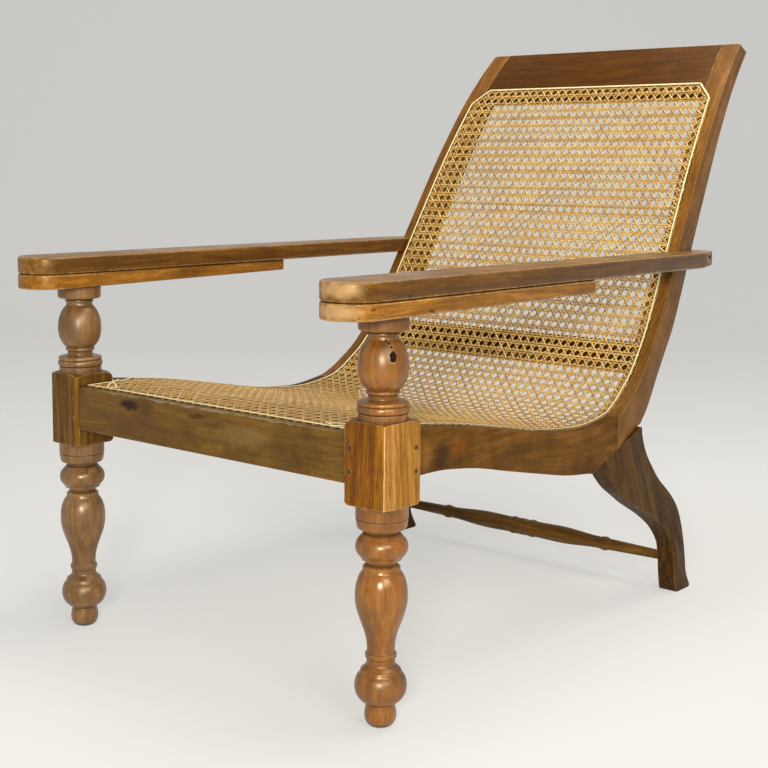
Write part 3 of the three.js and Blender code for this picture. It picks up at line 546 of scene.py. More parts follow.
eases = {
    "swell": lambda t: (t, (1 - math.cos(math.pi * t)) / 2),
    "crown": lambda t: (1 - math.cos(math.pi / 2 * t), math.sin(math.pi / 2 * t)),
    "bulge": lambda t: (1 - arc_up(1 - t), 1 - arc_in(1 - t)),
    "round": lambda t: (arc_up(t), arc_in(t)),
}


def turned_profile(rows, bottom, height, radius, steps=14):
    """Radius and height, in millimetres, up a turning."""
    points = []
    for curve, height_share, radius_share in rows:
        end = (radius * radius_share, bottom + height * height_share)
        if curve == "line" or not points:
            points.append(end)
            continue
        start = points[-1]
        for step in range(1, steps + 1):
            up_share, out_share = eases[curve](step / steps)
            points.append((
                start[0] + (end[0] - start[0]) * out_share,
                start[1] + (end[1] - start[1]) * up_share,
            ))
    return points


print(len(lower_turning_shares) + len(upper_turning_shares), "rows of turning")

# %% Mesh helpers


def new_piece(name, bm, materials):
    """A bmesh in millimetres becomes an object with its place in its mesh, facing outwards."""
    bmesh.ops.recalc_face_normals(bm, faces=bm.faces[:])
    places = in_frame([v.co for v in bm.verts])
    for vertex, place in zip(bm.verts, places):
        vertex.co = place
    mesh = bpy.data.meshes.new(name)
    bm.to_mesh(mesh)
    bm.free()
    for material in materials:
        mesh.materials.append(material)
    return new_object(name, mesh)


def wall(bm, low, high):
    """Join two closed rows of points, corner by corner, and return the faces."""
    faces = []
    for i in range(len(low)):
        after = (i + 1) % len(low)
        faces.append(bm.faces.new((low[i], low[after], high[after], high[i])))
    return faces


def edge_weights(bm):
    """The layer that tells the Bevel modifier how much of its width each edge gets."""
    return bm.edges.layers.float.new("bevel_weight_edge")


def applied(piece):
    """Replace a piece's mesh by what its modifiers make of it."""
    evaluated = piece.evaluated_get(bpy.context.evaluated_depsgraph_get())
    mesh = bpy.data.meshes.new_from_object(evaluated)
    piece.modifiers.clear()
    piece.data = mesh
    mesh.name = piece.name
    return piece


def rounded(piece, width_mm, segments=3):
    """Take the sharpness off the edges and shade the faces smoothly between them."""
    bevel = piece.modifiers.new("rounded_edges", "BEVEL")
    bevel.width = width_mm * MM
    bevel.segments = segments
    bevel.limit_method = "WEIGHT"
    applied(piece)
    smooth_below(piece, 30)
    return piece


def smooth_below(piece, degrees):
    """Smooth shading, with edges that turn by more than so many degrees kept sharp."""
    mesh = piece.data
    mesh.shade_smooth()
    mesh.set_sharp_from_angle(angle=math.radians(degrees))


def finish_piece(piece, body, slot, *nodes):
    """Ride on a body and stand for CAD nodes, which it hides. slot is not used."""
    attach(piece, body)
    if nodes:
        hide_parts(*nodes)


SIDES = {"right": 1, "left": -1}
ROOT = "frame"
print("sides", SIDES)

# %% Spin a profile, and the square block
leg_sides, block_edge, ring_edge, corner_edge, shoulder_edge = 72, 2.2, 35, 50, 25
front_facet, side_facet, left_corner, rubbed_share = (20.0, 2.2), (22.0, 4.7), (7.0, 4.0), 0.05
shoulder_round, shoulder_rise, shoulder_foot = 20.0, 2.5, 3.5


def spin(bm, profile, sides, centre):
    """Spin (radius, height) points round an upright axis and close both ends."""
    rings = []
    for radius, height in profile:
        ring = []
        for side in range(sides):
            angle = 2 * math.pi * side / sides
            ring.append(bm.verts.new((
                centre + radius * math.cos(angle), radius * math.sin(angle), height,
            )))
        rings.append(ring)
    bm.faces.new(rings[0][::-1])
    bm.faces.new(rings[-1])
    for low, high in zip(rings, rings[1:]):
        wall(bm, low, high)


def square_block(side):
    """The unturned block, with a shallow facet each side of its outer front corner's arris. On the
    right block the facets and the side face take paler teak, a painted light. The left block's
    inner corner is planed off too, where it meets the front rail."""
    ridge = np.array([block_half - side_facet[1], front_facet[1] - block_half])
    front_end = np.array([block_half - front_facet[0], -block_half])
    side_end = np.array([block_half, side_facet[0] - block_half])
    front, flank = woods["block"], woods["block_side_painted_light"]
    inner = [((-block_half, -block_half), front)]
    if side < 0:
        front = flank = woods["block_left"]
        inner = [((-block_half, left_corner[1] - block_half), woods["left_corner"]),
                 ((left_corner[0] - block_half, -block_half), front)]
    # On the right block the facets and the side face get paler teak: painted light
    plan = [
        *inner, (tuple(front_end), woods["facet"] if side > 0 else front),
        (tuple(ridge + rubbed_share * (front_end - ridge)), woods["arris"]),
        (tuple(ridge + rubbed_share * (side_end - ridge)), woods["facet_side_painted_light"]),
        (tuple(side_end), flank),
        ((block_half, block_half), front), ((-block_half, block_half), front),
    ]
    materials = []
    for _, material in plan:
        if material not in materials:
            materials.append(material)
    bm = bmesh.new()
    top = block_top + shoulder_rise
    low = [bm.verts.new((side * (leg_place + x), y, block_bottom)) for (x, y), _ in plan]
    high = [bm.verts.new((side * (leg_place + x), y, top)) for (x, y), _ in plan]
    bm.faces.new(low)
    bm.faces.new(high)
    for face, (_, material) in zip(wall(bm, low, high), plan):
        face.material_index = materials.index(material)
    weight = edge_weights(bm)
    for edge in bm.edges:
        upright = abs(edge.verts[0].co.z - edge.verts[1].co.z) > 1
        if upright and edge.calc_face_angle(0) > math.radians(corner_edge):
            edge[weight] = 1.0
    return new_piece("block", bm, materials)


print("spinning and the square block are ready")

# %% Cut one piece by another


def carve(piece, tool, operation):
    """Cut one piece by another, whose material the cut takes, and throw the tool away."""
    cutting = piece.modifiers.new("carve", "BOOLEAN")
    cutting.operation = operation
    cutting.object = tool
    cutting.solver = "EXACT"
    cutting.material_mode = "TRANSFER"
    applied(piece)
    bpy.data.objects.remove(tool)
    return piece


def lathe_cut(block, side):
    """Keep only what the lathe leaves of the block: shoulders that fall away to its corners."""
    corner = block_half * math.sqrt(2)
    clear = 4
    profile = [(corner - shoulder_foot, block_bottom),
               (corner + clear, block_bottom + shoulder_foot + clear)]
    start, steps = math.radians(20), 12
    for step in range(steps + 1):
        angle = start + (math.pi / 2 - start) * step / steps
        profile.append((
            leg_radius + shoulder_round * math.cos(angle),
            block_top + shoulder_rise + shoulder_round * (math.sin(angle) - 1),
        ))
    bm = bmesh.new()
    spin(bm, profile, 2 * leg_sides, side * leg_place)
    swept = new_piece("lathe_sweep", bm, [woods["block" if side > 0 else "block_left"]])
    carve(block, swept, "INTERSECT")
    smooth_below(block, shoulder_edge)
    return block


def knock(name, profile, around_degrees, height, size, tilt_degrees):
    """A drop-shaped tool for a dent in the right leg's upper turning. size is its width, depth
    and height."""
    narrowing, ripple, ripples = 0.4, 0.15, 7
    bm = bmesh.new()
    bmesh.ops.create_uvsphere(bm, u_segments=20, v_segments=12, radius=1.0)
    around, tilt = math.radians(around_degrees), math.radians(tilt_degrees)
    outward = Vector((math.sin(around), -math.cos(around), 0))
    sideways = Vector((math.cos(around), math.sin(around), 0))
    surface = np.interp(height, [row[1] for row in profile], [row[0] for row in profile])
    middle = Vector((leg_place, 0, height)) + outward * surface
    for vertex in bm.verts:
        across, deep, high = vertex.co
        across *= size[0] * (1 - narrowing * max(high, 0) + ripple * math.sin(ripples * high))
        high *= size[2]
        right = across * math.cos(tilt) - high * math.sin(tilt)
        up = across * math.sin(tilt) + high * math.cos(tilt)
        vertex.co = middle - outward * deep * size[1] + sideways * right + Vector((0, 0, up))
    bm.normal_update()
    # The cut dent takes this near-black teak: dark dirt and painted shade
    return new_piece(name, bm, [dent_dirt_and_hole_shade])


def join_meshes(name, pieces):
    """Join pieces into one object that keeps every material."""
    bm = bmesh.new()
    materials = []
    for piece in pieces:
        start = len(bm.faces)
        bm.from_mesh(piece.data)
        bm.faces.ensure_lookup_table()
        for face in bm.faces[start:]:
            material = piece.data.materials[face.material_index]
            if material not in materials:
                materials.append(material)
            face.material_index = materials.index(material)
        bpy.data.objects.remove(piece)
    mesh = bpy.data.meshes.new(name)
    bm.to_mesh(mesh)
    bm.free()
    for material in materials:
        mesh.materials.append(material)
    return new_object(name, mesh)


print("cutting and joining are ready")

# %% Front legs
# The upper ball of the right leg has one deep dent, with small chips above it. Each is degrees
# round the leg, height, size and tilt in degrees
knocks = [
    (63.5, 519.4, (5.4, 3.2, 9.8), -4), (57, 535.5, (4.6, 1.5, 1.5), -25),
    (62, 531.0, (1.8, 1.4, 4.0), -15), (48, 539.0, (3.0, 1.2, 1.3), 20),
]
pivot_radius = 12.0

for side_name, side in SIDES.items():
    profiles = [
        turned_profile(lower_turning_shares, 0, block_bottom, leg_radius),
        turned_profile(upper_turning_shares, block_top, collar_top - block_top, leg_radius),
        [(pivot_radius, collar_top - 1), (pivot_radius, arm_bottom + 6)],
    ]
    turned = []
    wood = woods["turned" if side > 0 else "turned_left"]
    for number, profile in enumerate(profiles):
        bm = bmesh.new()
        spin(bm, profile, leg_sides, side * leg_place)
        turned.append(new_piece(f"turning_{number}", bm, [wood]))
    if side_name == "right":
        for number, dent in enumerate(knocks):
            carve(turned[1], knock(f"dent_{number}", profiles[1], *dent), "DIFFERENCE")
    for piece in turned:
        smooth_below(piece, ring_edge)
    block = lathe_cut(rounded(square_block(side), block_edge), side)
    leg = join_meshes(f"turned_leg_{side_name}", [*turned, block])
    finish_piece(leg, ROOT, "leg_wood", f"front_leg_{side_name}")
    print(leg.name, len(leg.data.polygons), "faces")

# %% [markdown]
# ## Arms and leg rests
# Both are boards cut to one plan: a half-round front end, an outer edge that follows the legs and
# an inner edge that runs slightly outwards to the back. The arm narrows again at its back end, past
# the stile. The leg rest lies close under it. A board like this is an outline and a thickness, with
# a rounded edge: a Bevel modifier on weighted edges does what a spokeshave does.

# %% Boards from a plan
arm_outer, arm_inner_front, arm_inner_back = 372.0, 280.0, 305.0
arm_top, arm_thickness, arm_front, arm_back = 622.0, 27.5, 107.0, 900.0
arm_taper_start, arm_end_outer = 826.0, 352.0
rest_top, rest_thickness, rest_end_thickness = 594.2, 23.5, 20.0
rest_back, rest_inner_back = 466.0, 308.0
arm_corner, arm_edge, rest_corner, rest_edge = 9.0, 4.0, 6.0, 3.0


def board_plan(back, inner_back, outer_back, round_back, taper_start):
    """The plan's corners, from the inner front round the front end and back to the inner back."""
    radius = (arm_outer - arm_inner_front) / 2
    centre_x, centre_y = arm_inner_front + radius, radius - arm_front
    turn_steps, corner_steps = 40, 6
    plan = []

    def corner(centre, start):
        for step in range(corner_steps + 1):
            angle = start + math.pi / 2 * step / corner_steps
            plan.append((
                centre[0] + round_back * math.cos(angle), centre[1] + round_back * math.sin(angle),
            ))

    for step in range(turn_steps + 1):
        angle = math.pi + math.pi * step / turn_steps
        plan.append((centre_x + radius * math.cos(angle), centre_y + radius * math.sin(angle)))
    if taper_start:
        plan.append((arm_outer, taper_start))
    corner((outer_back - round_back, back - round_back), 0)
    corner((inner_back + round_back, back - round_back), math.pi / 2)
    return plan


def board(name, side, plan, bottom, top, material, edge_mm):
    """A flat-topped board. bottom gives its lower side's height at a place along the chair."""
    bm = bmesh.new()
    low = [bm.verts.new((side * x, y, bottom(y))) for x, y in plan]
    high = [bm.verts.new((side * x, y, top)) for x, y in plan]
    caps = [bm.faces.new(low), bm.faces.new(high)]
    wall(bm, low, high)
    weight = edge_weights(bm)
    for cap in caps:
        for edge in cap.edges:
            edge[weight] = 1.0
    return rounded(new_piece(name, bm, [material]), edge_mm)


arm_plan = board_plan(arm_back, arm_inner_back, arm_end_outer, arm_corner, arm_taper_start)
rest_plan = board_plan(rest_back, rest_inner_back, arm_outer, rest_corner, None)


def rest_bottom(y):
    """The leg rest thins slightly from its front to its back end."""
    share = (y + arm_front) / (rest_back + arm_front)
    return rest_top - rest_thickness + (rest_thickness - rest_end_thickness) * share


for side_name, side in SIDES.items():
    arm = board(f"worn_arm_{side_name}", side, arm_plan, lambda y: arm_top - arm_thickness,
                arm_top, woods["arm"], arm_edge)
    finish_piece(arm, ROOT, "arm_wood", f"arm_{side_name}")
    rest = board(f"leaf_{side_name}", side, rest_plan, rest_bottom, rest_top, woods["rest"],
                 rest_edge)
    finish_piece(rest, f"leg_rest_{side_name}", "rest_wood", f"leg_rest_{side_name}")
    print(arm.name, len(arm.data.polygons), "faces,", rest.name, len(rest.data.polygons), "faces")

# %% [markdown]
# ## The line of the side frames
# Seen from the side, the seat rail sags and then turns up at the knee into the back stile. The
# cane lies on that same line, so everything else hangs on it. The line is a smooth spline through
# points that are shares of the chair's lengths, the same as in the CAD model.

# %% Side line
side_outer, side_thickness = 341.0, 38.0
side_inner = side_outer - side_thickness
knee_joint, rail_top, rail_low = 597.0, 410.0, 346.0
rail_bottom_front, rail_bottom_low = 344.0, 273.0
back_run, back_top, lean_degrees = 511.0, 1009.0, 5.9
joint_front, joint_back = (545.0, 283.0), (677.0, 327.0)
rail_start, cane_front = block_half + 0.3, 17.0
lean_slope = math.tan(math.radians(lean_degrees))
joint_rise = (joint_back[1] - joint_front[1]) / (joint_back[0] - joint_front[0])
joint_bottom = joint_front[1] + joint_rise * (knee_joint - joint_front[0])
stile_heel = (joint_back[0] + 12.0, joint_back[1] + joint_rise * 12.0)

seat_line_shares = [
    (0.08, 0.97), (0.258, 0.773), (0.49, 0.406), (0.632, 0.172), (0.774, 0.031), (0.881, 0),
    (1, 0.14),
]
back_line_shares = [
    (0.055, 0.017), (0.104, 0.041), (0.202, 0.103), (0.315, 0.222), (0.431, 0.375),
    (0.546, 0.528), (0.667, 0.681), (0.804, 0.833), (0.922, 0.94), (1, 1),
]
rail_underside_shares = [
    (0.955, -0.02), (0.908, 0.014), (0.792, 0.113), (0.655, 0.31), (0.48, 0.577), (0.318, 0.831),
    (0.194, 0.958), (0.116, 1), (0, 1),
]
stile_rear_shares = [
    (1.068, 0.982), (0.98, 0.908), (0.911, 0.842), (0.845, 0.767), (0.759, 0.658), (0.583, 0.414),
    (0.503, 0.296), (0.432, 0.199), (0.366, 0.135), (0.301, 0.071), (0.239, 0.006),
]


def along_back(shares):
    """Shares of the back's run and rise, from the knee on, as places in the side view."""
    knee_height = rail_low + (rail_top - rail_low) * seat_line_shares[-1][1]
    rise = back_top - knee_height
    return [(knee_joint + back_run * a, knee_height + rise * b) for a, b in shares]


def spline(knots, steps):
    """A smooth line through every knot, with so many steps between two of them."""
    knots = np.array(knots, float)
    last = len(knots) - 1
    line = []
    for piece in range(last):
        before, start = knots[max(piece - 1, 0)], knots[piece]
        end, after = knots[piece + 1], knots[min(piece + 2, last)]
        pull_start, pull_end = (end - before) / 2, (after - start) / 2
        for step in range(steps + (piece == last - 1)):
            t = step / steps
            line.append(
                (2 * start - 2 * end + pull_start + pull_end) * t ** 3
                + (3 * end - 3 * start - 2 * pull_start - pull_end) * t ** 2
                + pull_start * t + start)
    return np.array(line)


seat_knots = [(rail_start + (knee_joint - rail_start) * a, rail_low + (rail_top - rail_low) * b)
              for a, b in seat_line_shares]
line_knots = [(-cane_front, rail_top), (rail_start, rail_top), *seat_knots,
              *along_back(back_line_shares)]
fine = 10
side_line = spline(line_knots, fine)
knee_step = (len(seat_knots) + 1) * fine
step_lengths = np.linalg.norm(np.diff(side_line, axis=0), axis=1)
line_distance = np.concatenate([[0], np.cumsum(step_lengths)])
line_length, knee_distance = line_distance[-1], line_distance[knee_step]
print("the line is", round(line_length), "mm long, the knee lies at", round(knee_distance))


def spot_at(distance):
    return np.array([np.interp(distance, line_distance, side_line[:, i]) for i in (0, 1)])


def on_line(distance, step=2.0):
    """Place and outward direction at a distance along the line."""
    chord = spot_at(distance + step) - spot_at(distance - step)
    along = chord / np.linalg.norm(chord)
    return spot_at(distance), np.array([-along[1], along[0]])


def lean(y):
    """How far the back has moved towards the middle at a place along the chair."""
    return lean_slope * (y - knee_joint)


# %% [markdown]
# ## Side frames
# Seat rail, back stile and rear leg are sawn from thick boards, then rounded a little along their
# edges. The rim of each side face gets a full bevel and the edges of the joints almost none, which
# leaves the joints as fine dark lines, as on the real chair. The stile leans inwards, so its points
# are sheared towards the middle the farther back they lie.

# %% Planks from a side outline
joint_share, sharp_turn = 0.12, math.radians(35)


def plank(name, side, outline, inner, outer, leaning, material, edge_mm, at_joint,
          corner_mm=0, foot_share=1.0):
    """Extrude a side outline between two distances from the middle. Its top outer corner or its
    foot may be rounded off more than the other edges."""
    bm = bmesh.new()
    rows = []
    for x in (inner, outer):
        places = [(side * (x - (lean(y) if leaning else 0)), y, z) for y, z in outline]
        rows.append([bm.verts.new(place) for place in places])
    caps = [bm.faces.new(rows[0]), bm.faces.new(rows[1])]
    wall(bm, *rows)
    if corner_mm:
        top = sorted(rows[1], key=lambda v: -v.co.z)[0]
        ends = [edge for edge in top.link_edges if caps[1] in edge.link_faces]
        longest = max(ends, key=lambda edge: edge.calc_length())
        bmesh.ops.bevel(bm, geom=[longest], offset=corner_mm, segments=7, profile=0.5,
                        affect="EDGES")
    fewest_corners = 30
    caps = [face for face in bm.faces if len(face.verts) > fewest_corners or face in caps]
    weight = edge_weights(bm)
    for edge in bm.edges:
        on_rim = any(face in caps for face in edge.link_faces)
        if on_rim or edge.calc_face_angle(0) > sharp_turn:
            crisp = all(at_joint(v.co.y, v.co.z) for v in edge.verts)
            on_foot = max(v.co.z for v in edge.verts) < 1.0
            share = joint_share if crisp else 1.0
            edge[weight] = share if on_foot and not crisp else share / foot_share
    piece = new_piece(name, bm, [material])
    return rounded(piece, edge_mm * foot_share, 4)


def near_joint(y, z, knee_reach=1.0, leg_reach=1.2):
    """Whether a point lies on the knee joint or on the joint over the rear leg."""
    on_knee = abs(y - knee_joint) < knee_reach
    on_leg = abs(z - (joint_front[1] + joint_rise * (y - joint_front[0]))) < leg_reach
    return on_knee or (on_leg and joint_front[0] - 2 < y < stile_heel[0] - 1)


rail_underside = [(rail_start + (joint_front[0] - rail_start) * a,
                   rail_bottom_low + (rail_bottom_front - rail_bottom_low) * b)
                  for a, b in rail_underside_shares]
seat_rail_outline = [*side_line[fine:knee_step + 1], (knee_joint, joint_bottom),
                     *spline([joint_front, *rail_underside], fine)]
stile_outline = [(knee_joint + 0.3, side_line[knee_step][1]), *side_line[knee_step + 1:],
                 *spline([*along_back(stile_rear_shares), stile_heel], fine),
                 (knee_joint + 0.3, joint_bottom)]

heel_back, rear_leg_thickness = 874.0, 33.0
leg_front_shares = [
    (-0.018, 0.834), (0.101, 0.756), (0.253, 0.668), (0.44, 0.572), (0.588, 0.481),
    (0.671, 0.41), (0.736, 0.325), (0.762, 0.216), (0.773, 0.124), (0.798, 0),
]
leg_rear_shares = [
    (1, 0), (0.935, 0.095), (0.917, 0.171), (0.888, 0.281), (0.845, 0.391), (0.783, 0.492),
    (0.679, 0.584), (0.527, 0.685), (0.426, 0.774), (0.35, 0.856), (0.303, 0.94),
]


def leg_edge(shares, height):
    return [(knee_joint + (heel_back - knee_joint) * a, height * b) for a, b in shares]


joint_gap = 0.3
leg_outline = [
    *spline([(joint_front[0], joint_front[1] - joint_gap),
             *leg_edge(leg_front_shares, joint_front[1])], fine),
    *spline([*leg_edge(leg_rear_shares, joint_back[1]),
             (joint_back[0], joint_back[1] - joint_gap)], fine),
]
print("outlines have", len(seat_rail_outline), len(stile_outline), len(leg_outline), "points")

# %% Saw the rear leg in two along its glue line
wing_top = (knee_joint - 5.0, joint_bottom)
wing_run, wing_drop, glue_gap = 56.0, 100.0, 0.8
heel_share, foot_round = 0.798, 9.0


def eased_corner(outline, corner, length, steps=6):
    """An outline whose corner is a curve that starts and ends so far from it."""
    points = [np.array(point) for point in outline]
    at = min(range(len(points)), key=lambda i: np.linalg.norm(points[i] - corner))
    ends, kept = [], set(range(len(points)))
    for sign in (-1, 1):
        i, left = at, length
        while True:
            here, there = points[i], points[(i + sign) % len(points)]
            gap = np.linalg.norm(there - here)
            kept.discard(i)
            if gap > left:
                ends.append(here + (there - here) * left / gap)
                break
            i, left = (i + sign) % len(points), left - gap
    curve = []
    for step in range(steps + 1):
        t = step / steps
        curve.append((1 - t) ** 2 * ends[0] + 2 * t * (1 - t) * points[at] + t ** 2 * ends[1])
    following = [(at + 1 + k) % len(points) for k in range(len(points))]
    return [tuple(q) for q in curve] + [tuple(points[i]) for i in following if i in kept]


def split_outline(outline, start, direction, gap):
    """The parts of an outline on each side of a line, with a gap between them."""
    normal = np.array([-direction[1], direction[0]]) / math.hypot(*direction)
    parts = []
    for sign in (1, -1):
        part = []
        for i, point in enumerate(outline):
            after = outline[(i + 1) % len(outline)]
            here = sign * np.dot(np.array(point) - start, normal) - gap / 2
            there = sign * np.dot(np.array(after) - start, normal) - gap / 2
            if here >= 0:
                part.append(tuple(point))
            if (here >= 0) != (there >= 0):
                share = here / (here - there)
                part.append(tuple(np.array(point) + share * (np.array(after) - np.array(point))))
        parts.append(part)
    return parts


for share in (heel_share, 1.0):
    corner = np.array((knee_joint + (heel_back - knee_joint) * share, 0.0))
    leg_outline = eased_corner(leg_outline, corner, foot_round)
main_part, wing_part = split_outline(leg_outline, np.array(wing_top), (wing_run, -wing_drop),
                                     glue_gap)
if max(y for y, z in wing_part) > max(y for y, z in main_part):
    main_part, wing_part = wing_part, main_part


def near_saw(y, z, glue_reach=1.5):
    """Whether a point lies on the wing's glue line or on the joint under the side frame."""
    off = (y - wing_top[0]) * wing_drop + (z - wing_top[1]) * wing_run
    on_glue = abs(off) / math.hypot(wing_run, wing_drop) < glue_reach
    return on_glue or near_joint(y, z + joint_gap)


leg_inner = side_outer - rear_leg_thickness
for side_name, side in SIDES.items():
    made = {
        "seat_rail": plank(f"sagging_rail_{side_name}", side, seat_rail_outline, side_inner,
                           side_outer, False, woods["side"], 3.0, near_joint),
        "back_stile": plank(f"leaning_stile_{side_name}", side, stile_outline, side_inner,
                            side_outer, True, woods["stile"], 3.2, near_joint, corner_mm=10.0),
        "rear_leg": plank(f"sabre_leg_{side_name}", side, main_part, leg_inner, side_outer,
                          False, woods["leg"], 3.0, near_saw, foot_share=1.6),
        "rear_leg_wing": plank(f"glued_wing_{side_name}", side, wing_part, leg_inner, side_outer,
                               False, woods["leg"], 2.0, near_saw),
    }
    for node, piece in made.items():
        finish_piece(piece, ROOT, "side_wood", f"{node}_{side_name}")
        print(piece.name, len(piece.data.polygons), "faces")

# %% [markdown]
# ## Rails across
# The front rail is a plain thick board between the leg blocks. The crest rail and the thin rail in
# the small of the back follow the curve of the stiles, so their section is taken off the side
# line, and they end on the stiles' leaning inner faces.

# %% Cross pieces
front_rail_face, front_rail_thickness, front_rail_bottom = 33.0, 40.0, 341.0
crest_height, crest_thickness = 130.0, 24.0
cross_rail_up, cross_rail_height, cross_rail_thickness, cross_rail_drop = 155.0, 52.0, 20.0, 4.3


def board_across(name, start, end, drop, thickness, material, edge_mm):
    """A curved board between the stiles, lying so far behind the cane's line."""
    steps, end_gap = 12, 0.2
    front, rear = [], []
    for step in range(steps + 1):
        spot, out = on_line(start + (end - start) * step / steps)
        front.append(spot - out * drop)
        rear.insert(0, spot - out * (drop + thickness))
    outline = front + rear
    bm = bmesh.new()
    ends = [[bm.verts.new((side * (side_inner - lean(y) - end_gap), y, z)) for y, z in outline]
            for side in (-1, 1)]
    for end_corners in ends:
        bm.faces.new(end_corners)
    wall(bm, *ends)
    weight = edge_weights(bm)
    for edge in bm.edges:
        if any(all(v in end_corners for v in edge.verts) for end_corners in ends):
            edge[weight] = joint_share
        elif edge.calc_face_angle(0) > sharp_turn:
            edge[weight] = 1.0
    return rounded(new_piece(name, bm, [material]), edge_mm)


crest = board_across("curved_crest", line_length - crest_height, line_length, 0, crest_thickness,
                     woods["crest"], 3.0)
finish_piece(crest, ROOT, "crest_wood", "crest_rail")
rail_start_below = knee_distance + cross_rail_up - cross_rail_height / 2
small_of_back = board_across("hidden_rail", rail_start_below, rail_start_below + cross_rail_height,
                             cross_rail_drop, cross_rail_thickness, woods["crest"], 3.0)
finish_piece(small_of_back, ROOT, "crest_wood", "cross_rail")

front_rail_back = front_rail_thickness - front_rail_face
front_outline = [
    (-front_rail_face, front_rail_bottom), (front_rail_back, front_rail_bottom),
    (front_rail_back, rail_top), (-front_rail_face, rail_top),
]
front_half = leg_place - block_half - 0.3
front_rail = plank("worn_front_rail", 1, front_outline, -front_half, front_half, False,
                   woods["rail"], 2.5, lambda y, z: False)
finish_piece(front_rail, ROOT, "rail_wood", "front_rail")
print("3 cross pieces")

# %% Rear stretcher
stretcher_height, stretcher_place, stretcher_radius = 62.0, 827.0, 17.0
stretcher_shares = [
    ("line", 0, 0.96), ("line", 0.05, 0.92), ("line", 0.062, 1), ("line", 0.08, 1),
    ("line", 0.092, 0.9), ("swell", 0.28, 0.95), ("swell", 0.575, 0.66), ("line", 0.59, 0.76),
    ("line", 0.615, 0.78), ("line", 0.635, 0.63), ("line", 1, 0.49),
]
stretcher_half = side_outer - rear_leg_thickness - 0.3
right_profile = turned_profile(stretcher_shares, 0, stretcher_half, stretcher_radius, 8)
whole_profile = [(radius, -reach) for radius, reach in right_profile[:0:-1]] + right_profile
bm = bmesh.new()
spin(bm, whole_profile, 48, 0)
for vertex in bm.verts:
    x, y, z = vertex.co
    vertex.co = (z, stretcher_place + y, stretcher_height - x)
stretcher = new_piece("turned_stretcher", bm, [woods["stretcher"]])
smooth_below(stretcher, ring_edge)
finish_piece(stretcher, ROOT, "side_wood", "rear_stretcher")
print(stretcher.name, len(stretcher.data.polygons), "faces")

# %% [markdown]
# ## Six-way cane weave
# Hand caning runs in six steps. Two strands go from front to back through each pair of holes and
# two from side to side, which makes a grid. Then one strand goes along each diagonal and cuts the
# grid's corners, so each hole ends up eight-sided. A strand is woven over one neighbour and under
# the next. This is the main piece for Geometry Nodes: points say where strands start, a tree lays
# a line of points from each, waves it over and under, cuts it off at the border, gives it a
# section and at last bends the flat net onto the side line. At the border the two strands of a
# pair close up to one hole, and the diagonals shift to the nearest hole.

# %% The cane's border and the line it lies on
cane_top_drop, cane_corner, cane_corner_run = 108.0, 30.0, 38.0
cane_seat_inset, cane_back_inset, cane_inset_run = 26.0, 20.0, 190.0
cane_lift, binder_width = 1.0, 4.0
cane_length = line_length - cane_top_drop
block_run = 76.0


def cane_half_width(distance):
    """Half the cane's width: narrow between the blocks, then wide, and cut off at the top."""
    share = min(max((distance - knee_distance) / cane_inset_run, 0), 1)
    inset = cane_seat_inset + (cane_back_inset - cane_seat_inset) * share
    side = side_outer - max(lean(spot_at(distance)[0]), 0) - inset
    beside_block = leg_place - block_half - 0.3 - binder_width / 2
    from_block = min(max((distance - block_run) / cane_corner_run, 0), 1)
    to_crest = max(distance - (cane_length - cane_corner_run), 0) / cane_corner_run
    return beside_block + (side - beside_block) * from_block - cane_corner * to_crest


def line_mesh(name):
    """The side line as a chain of points, each with the cane's half width as an attribute."""
    steps = 640
    spots, widths = [], []
    for step in range(steps + 1):
        distance = cane_length * step / steps
        spots.append((0, *spot_at(distance)))
        widths.append(cane_half_width(distance) * MM)
    mesh = bpy.data.meshes.new(name)
    mesh.from_pydata(in_frame(spots), [(i, i + 1) for i in range(steps)], [])
    mesh.attributes.new("half_width", "FLOAT", "POINT").data.foreach_set("value", widths)
    return new_object(name, mesh)


cane_line = line_mesh("cane_line")
print("cane is", round(cane_length), "mm long and", round(2 * cane_half_width(300)), "mm wide")

# %% Geometry Nodes: named inputs and the side line


def tree_sockets(tree, inputs):
    """Named inputs of a tree, each as (name, kind, value), and one geometry output."""
    tree.interface.new_socket("Geometry", in_out="INPUT", socket_type="NodeSocketGeometry")
    for name, kind, value in inputs:
        socket = tree.interface.new_socket(name, in_out="INPUT", socket_type=f"NodeSocket{kind}")
        if value is not None:
            socket.default_value = value
    tree.interface.new_socket("Geometry", in_out="OUTPUT", socket_type="NodeSocketGeometry")
    return tree.nodes.new("NodeGroupInput").outputs


def line_curve(tree, line):
    """The object that holds the side line, as a curve."""
    shape = add(tree, "GeometryNodeObjectInfo", {"Object": line}).outputs["Geometry"]
    return add(tree, "GeometryNodeMeshToCurve", {"Mesh": shape}).outputs["Curve"]


print("helpers for the trees are ready")

# %% Geometry Nodes: bend a flat sheet onto the line


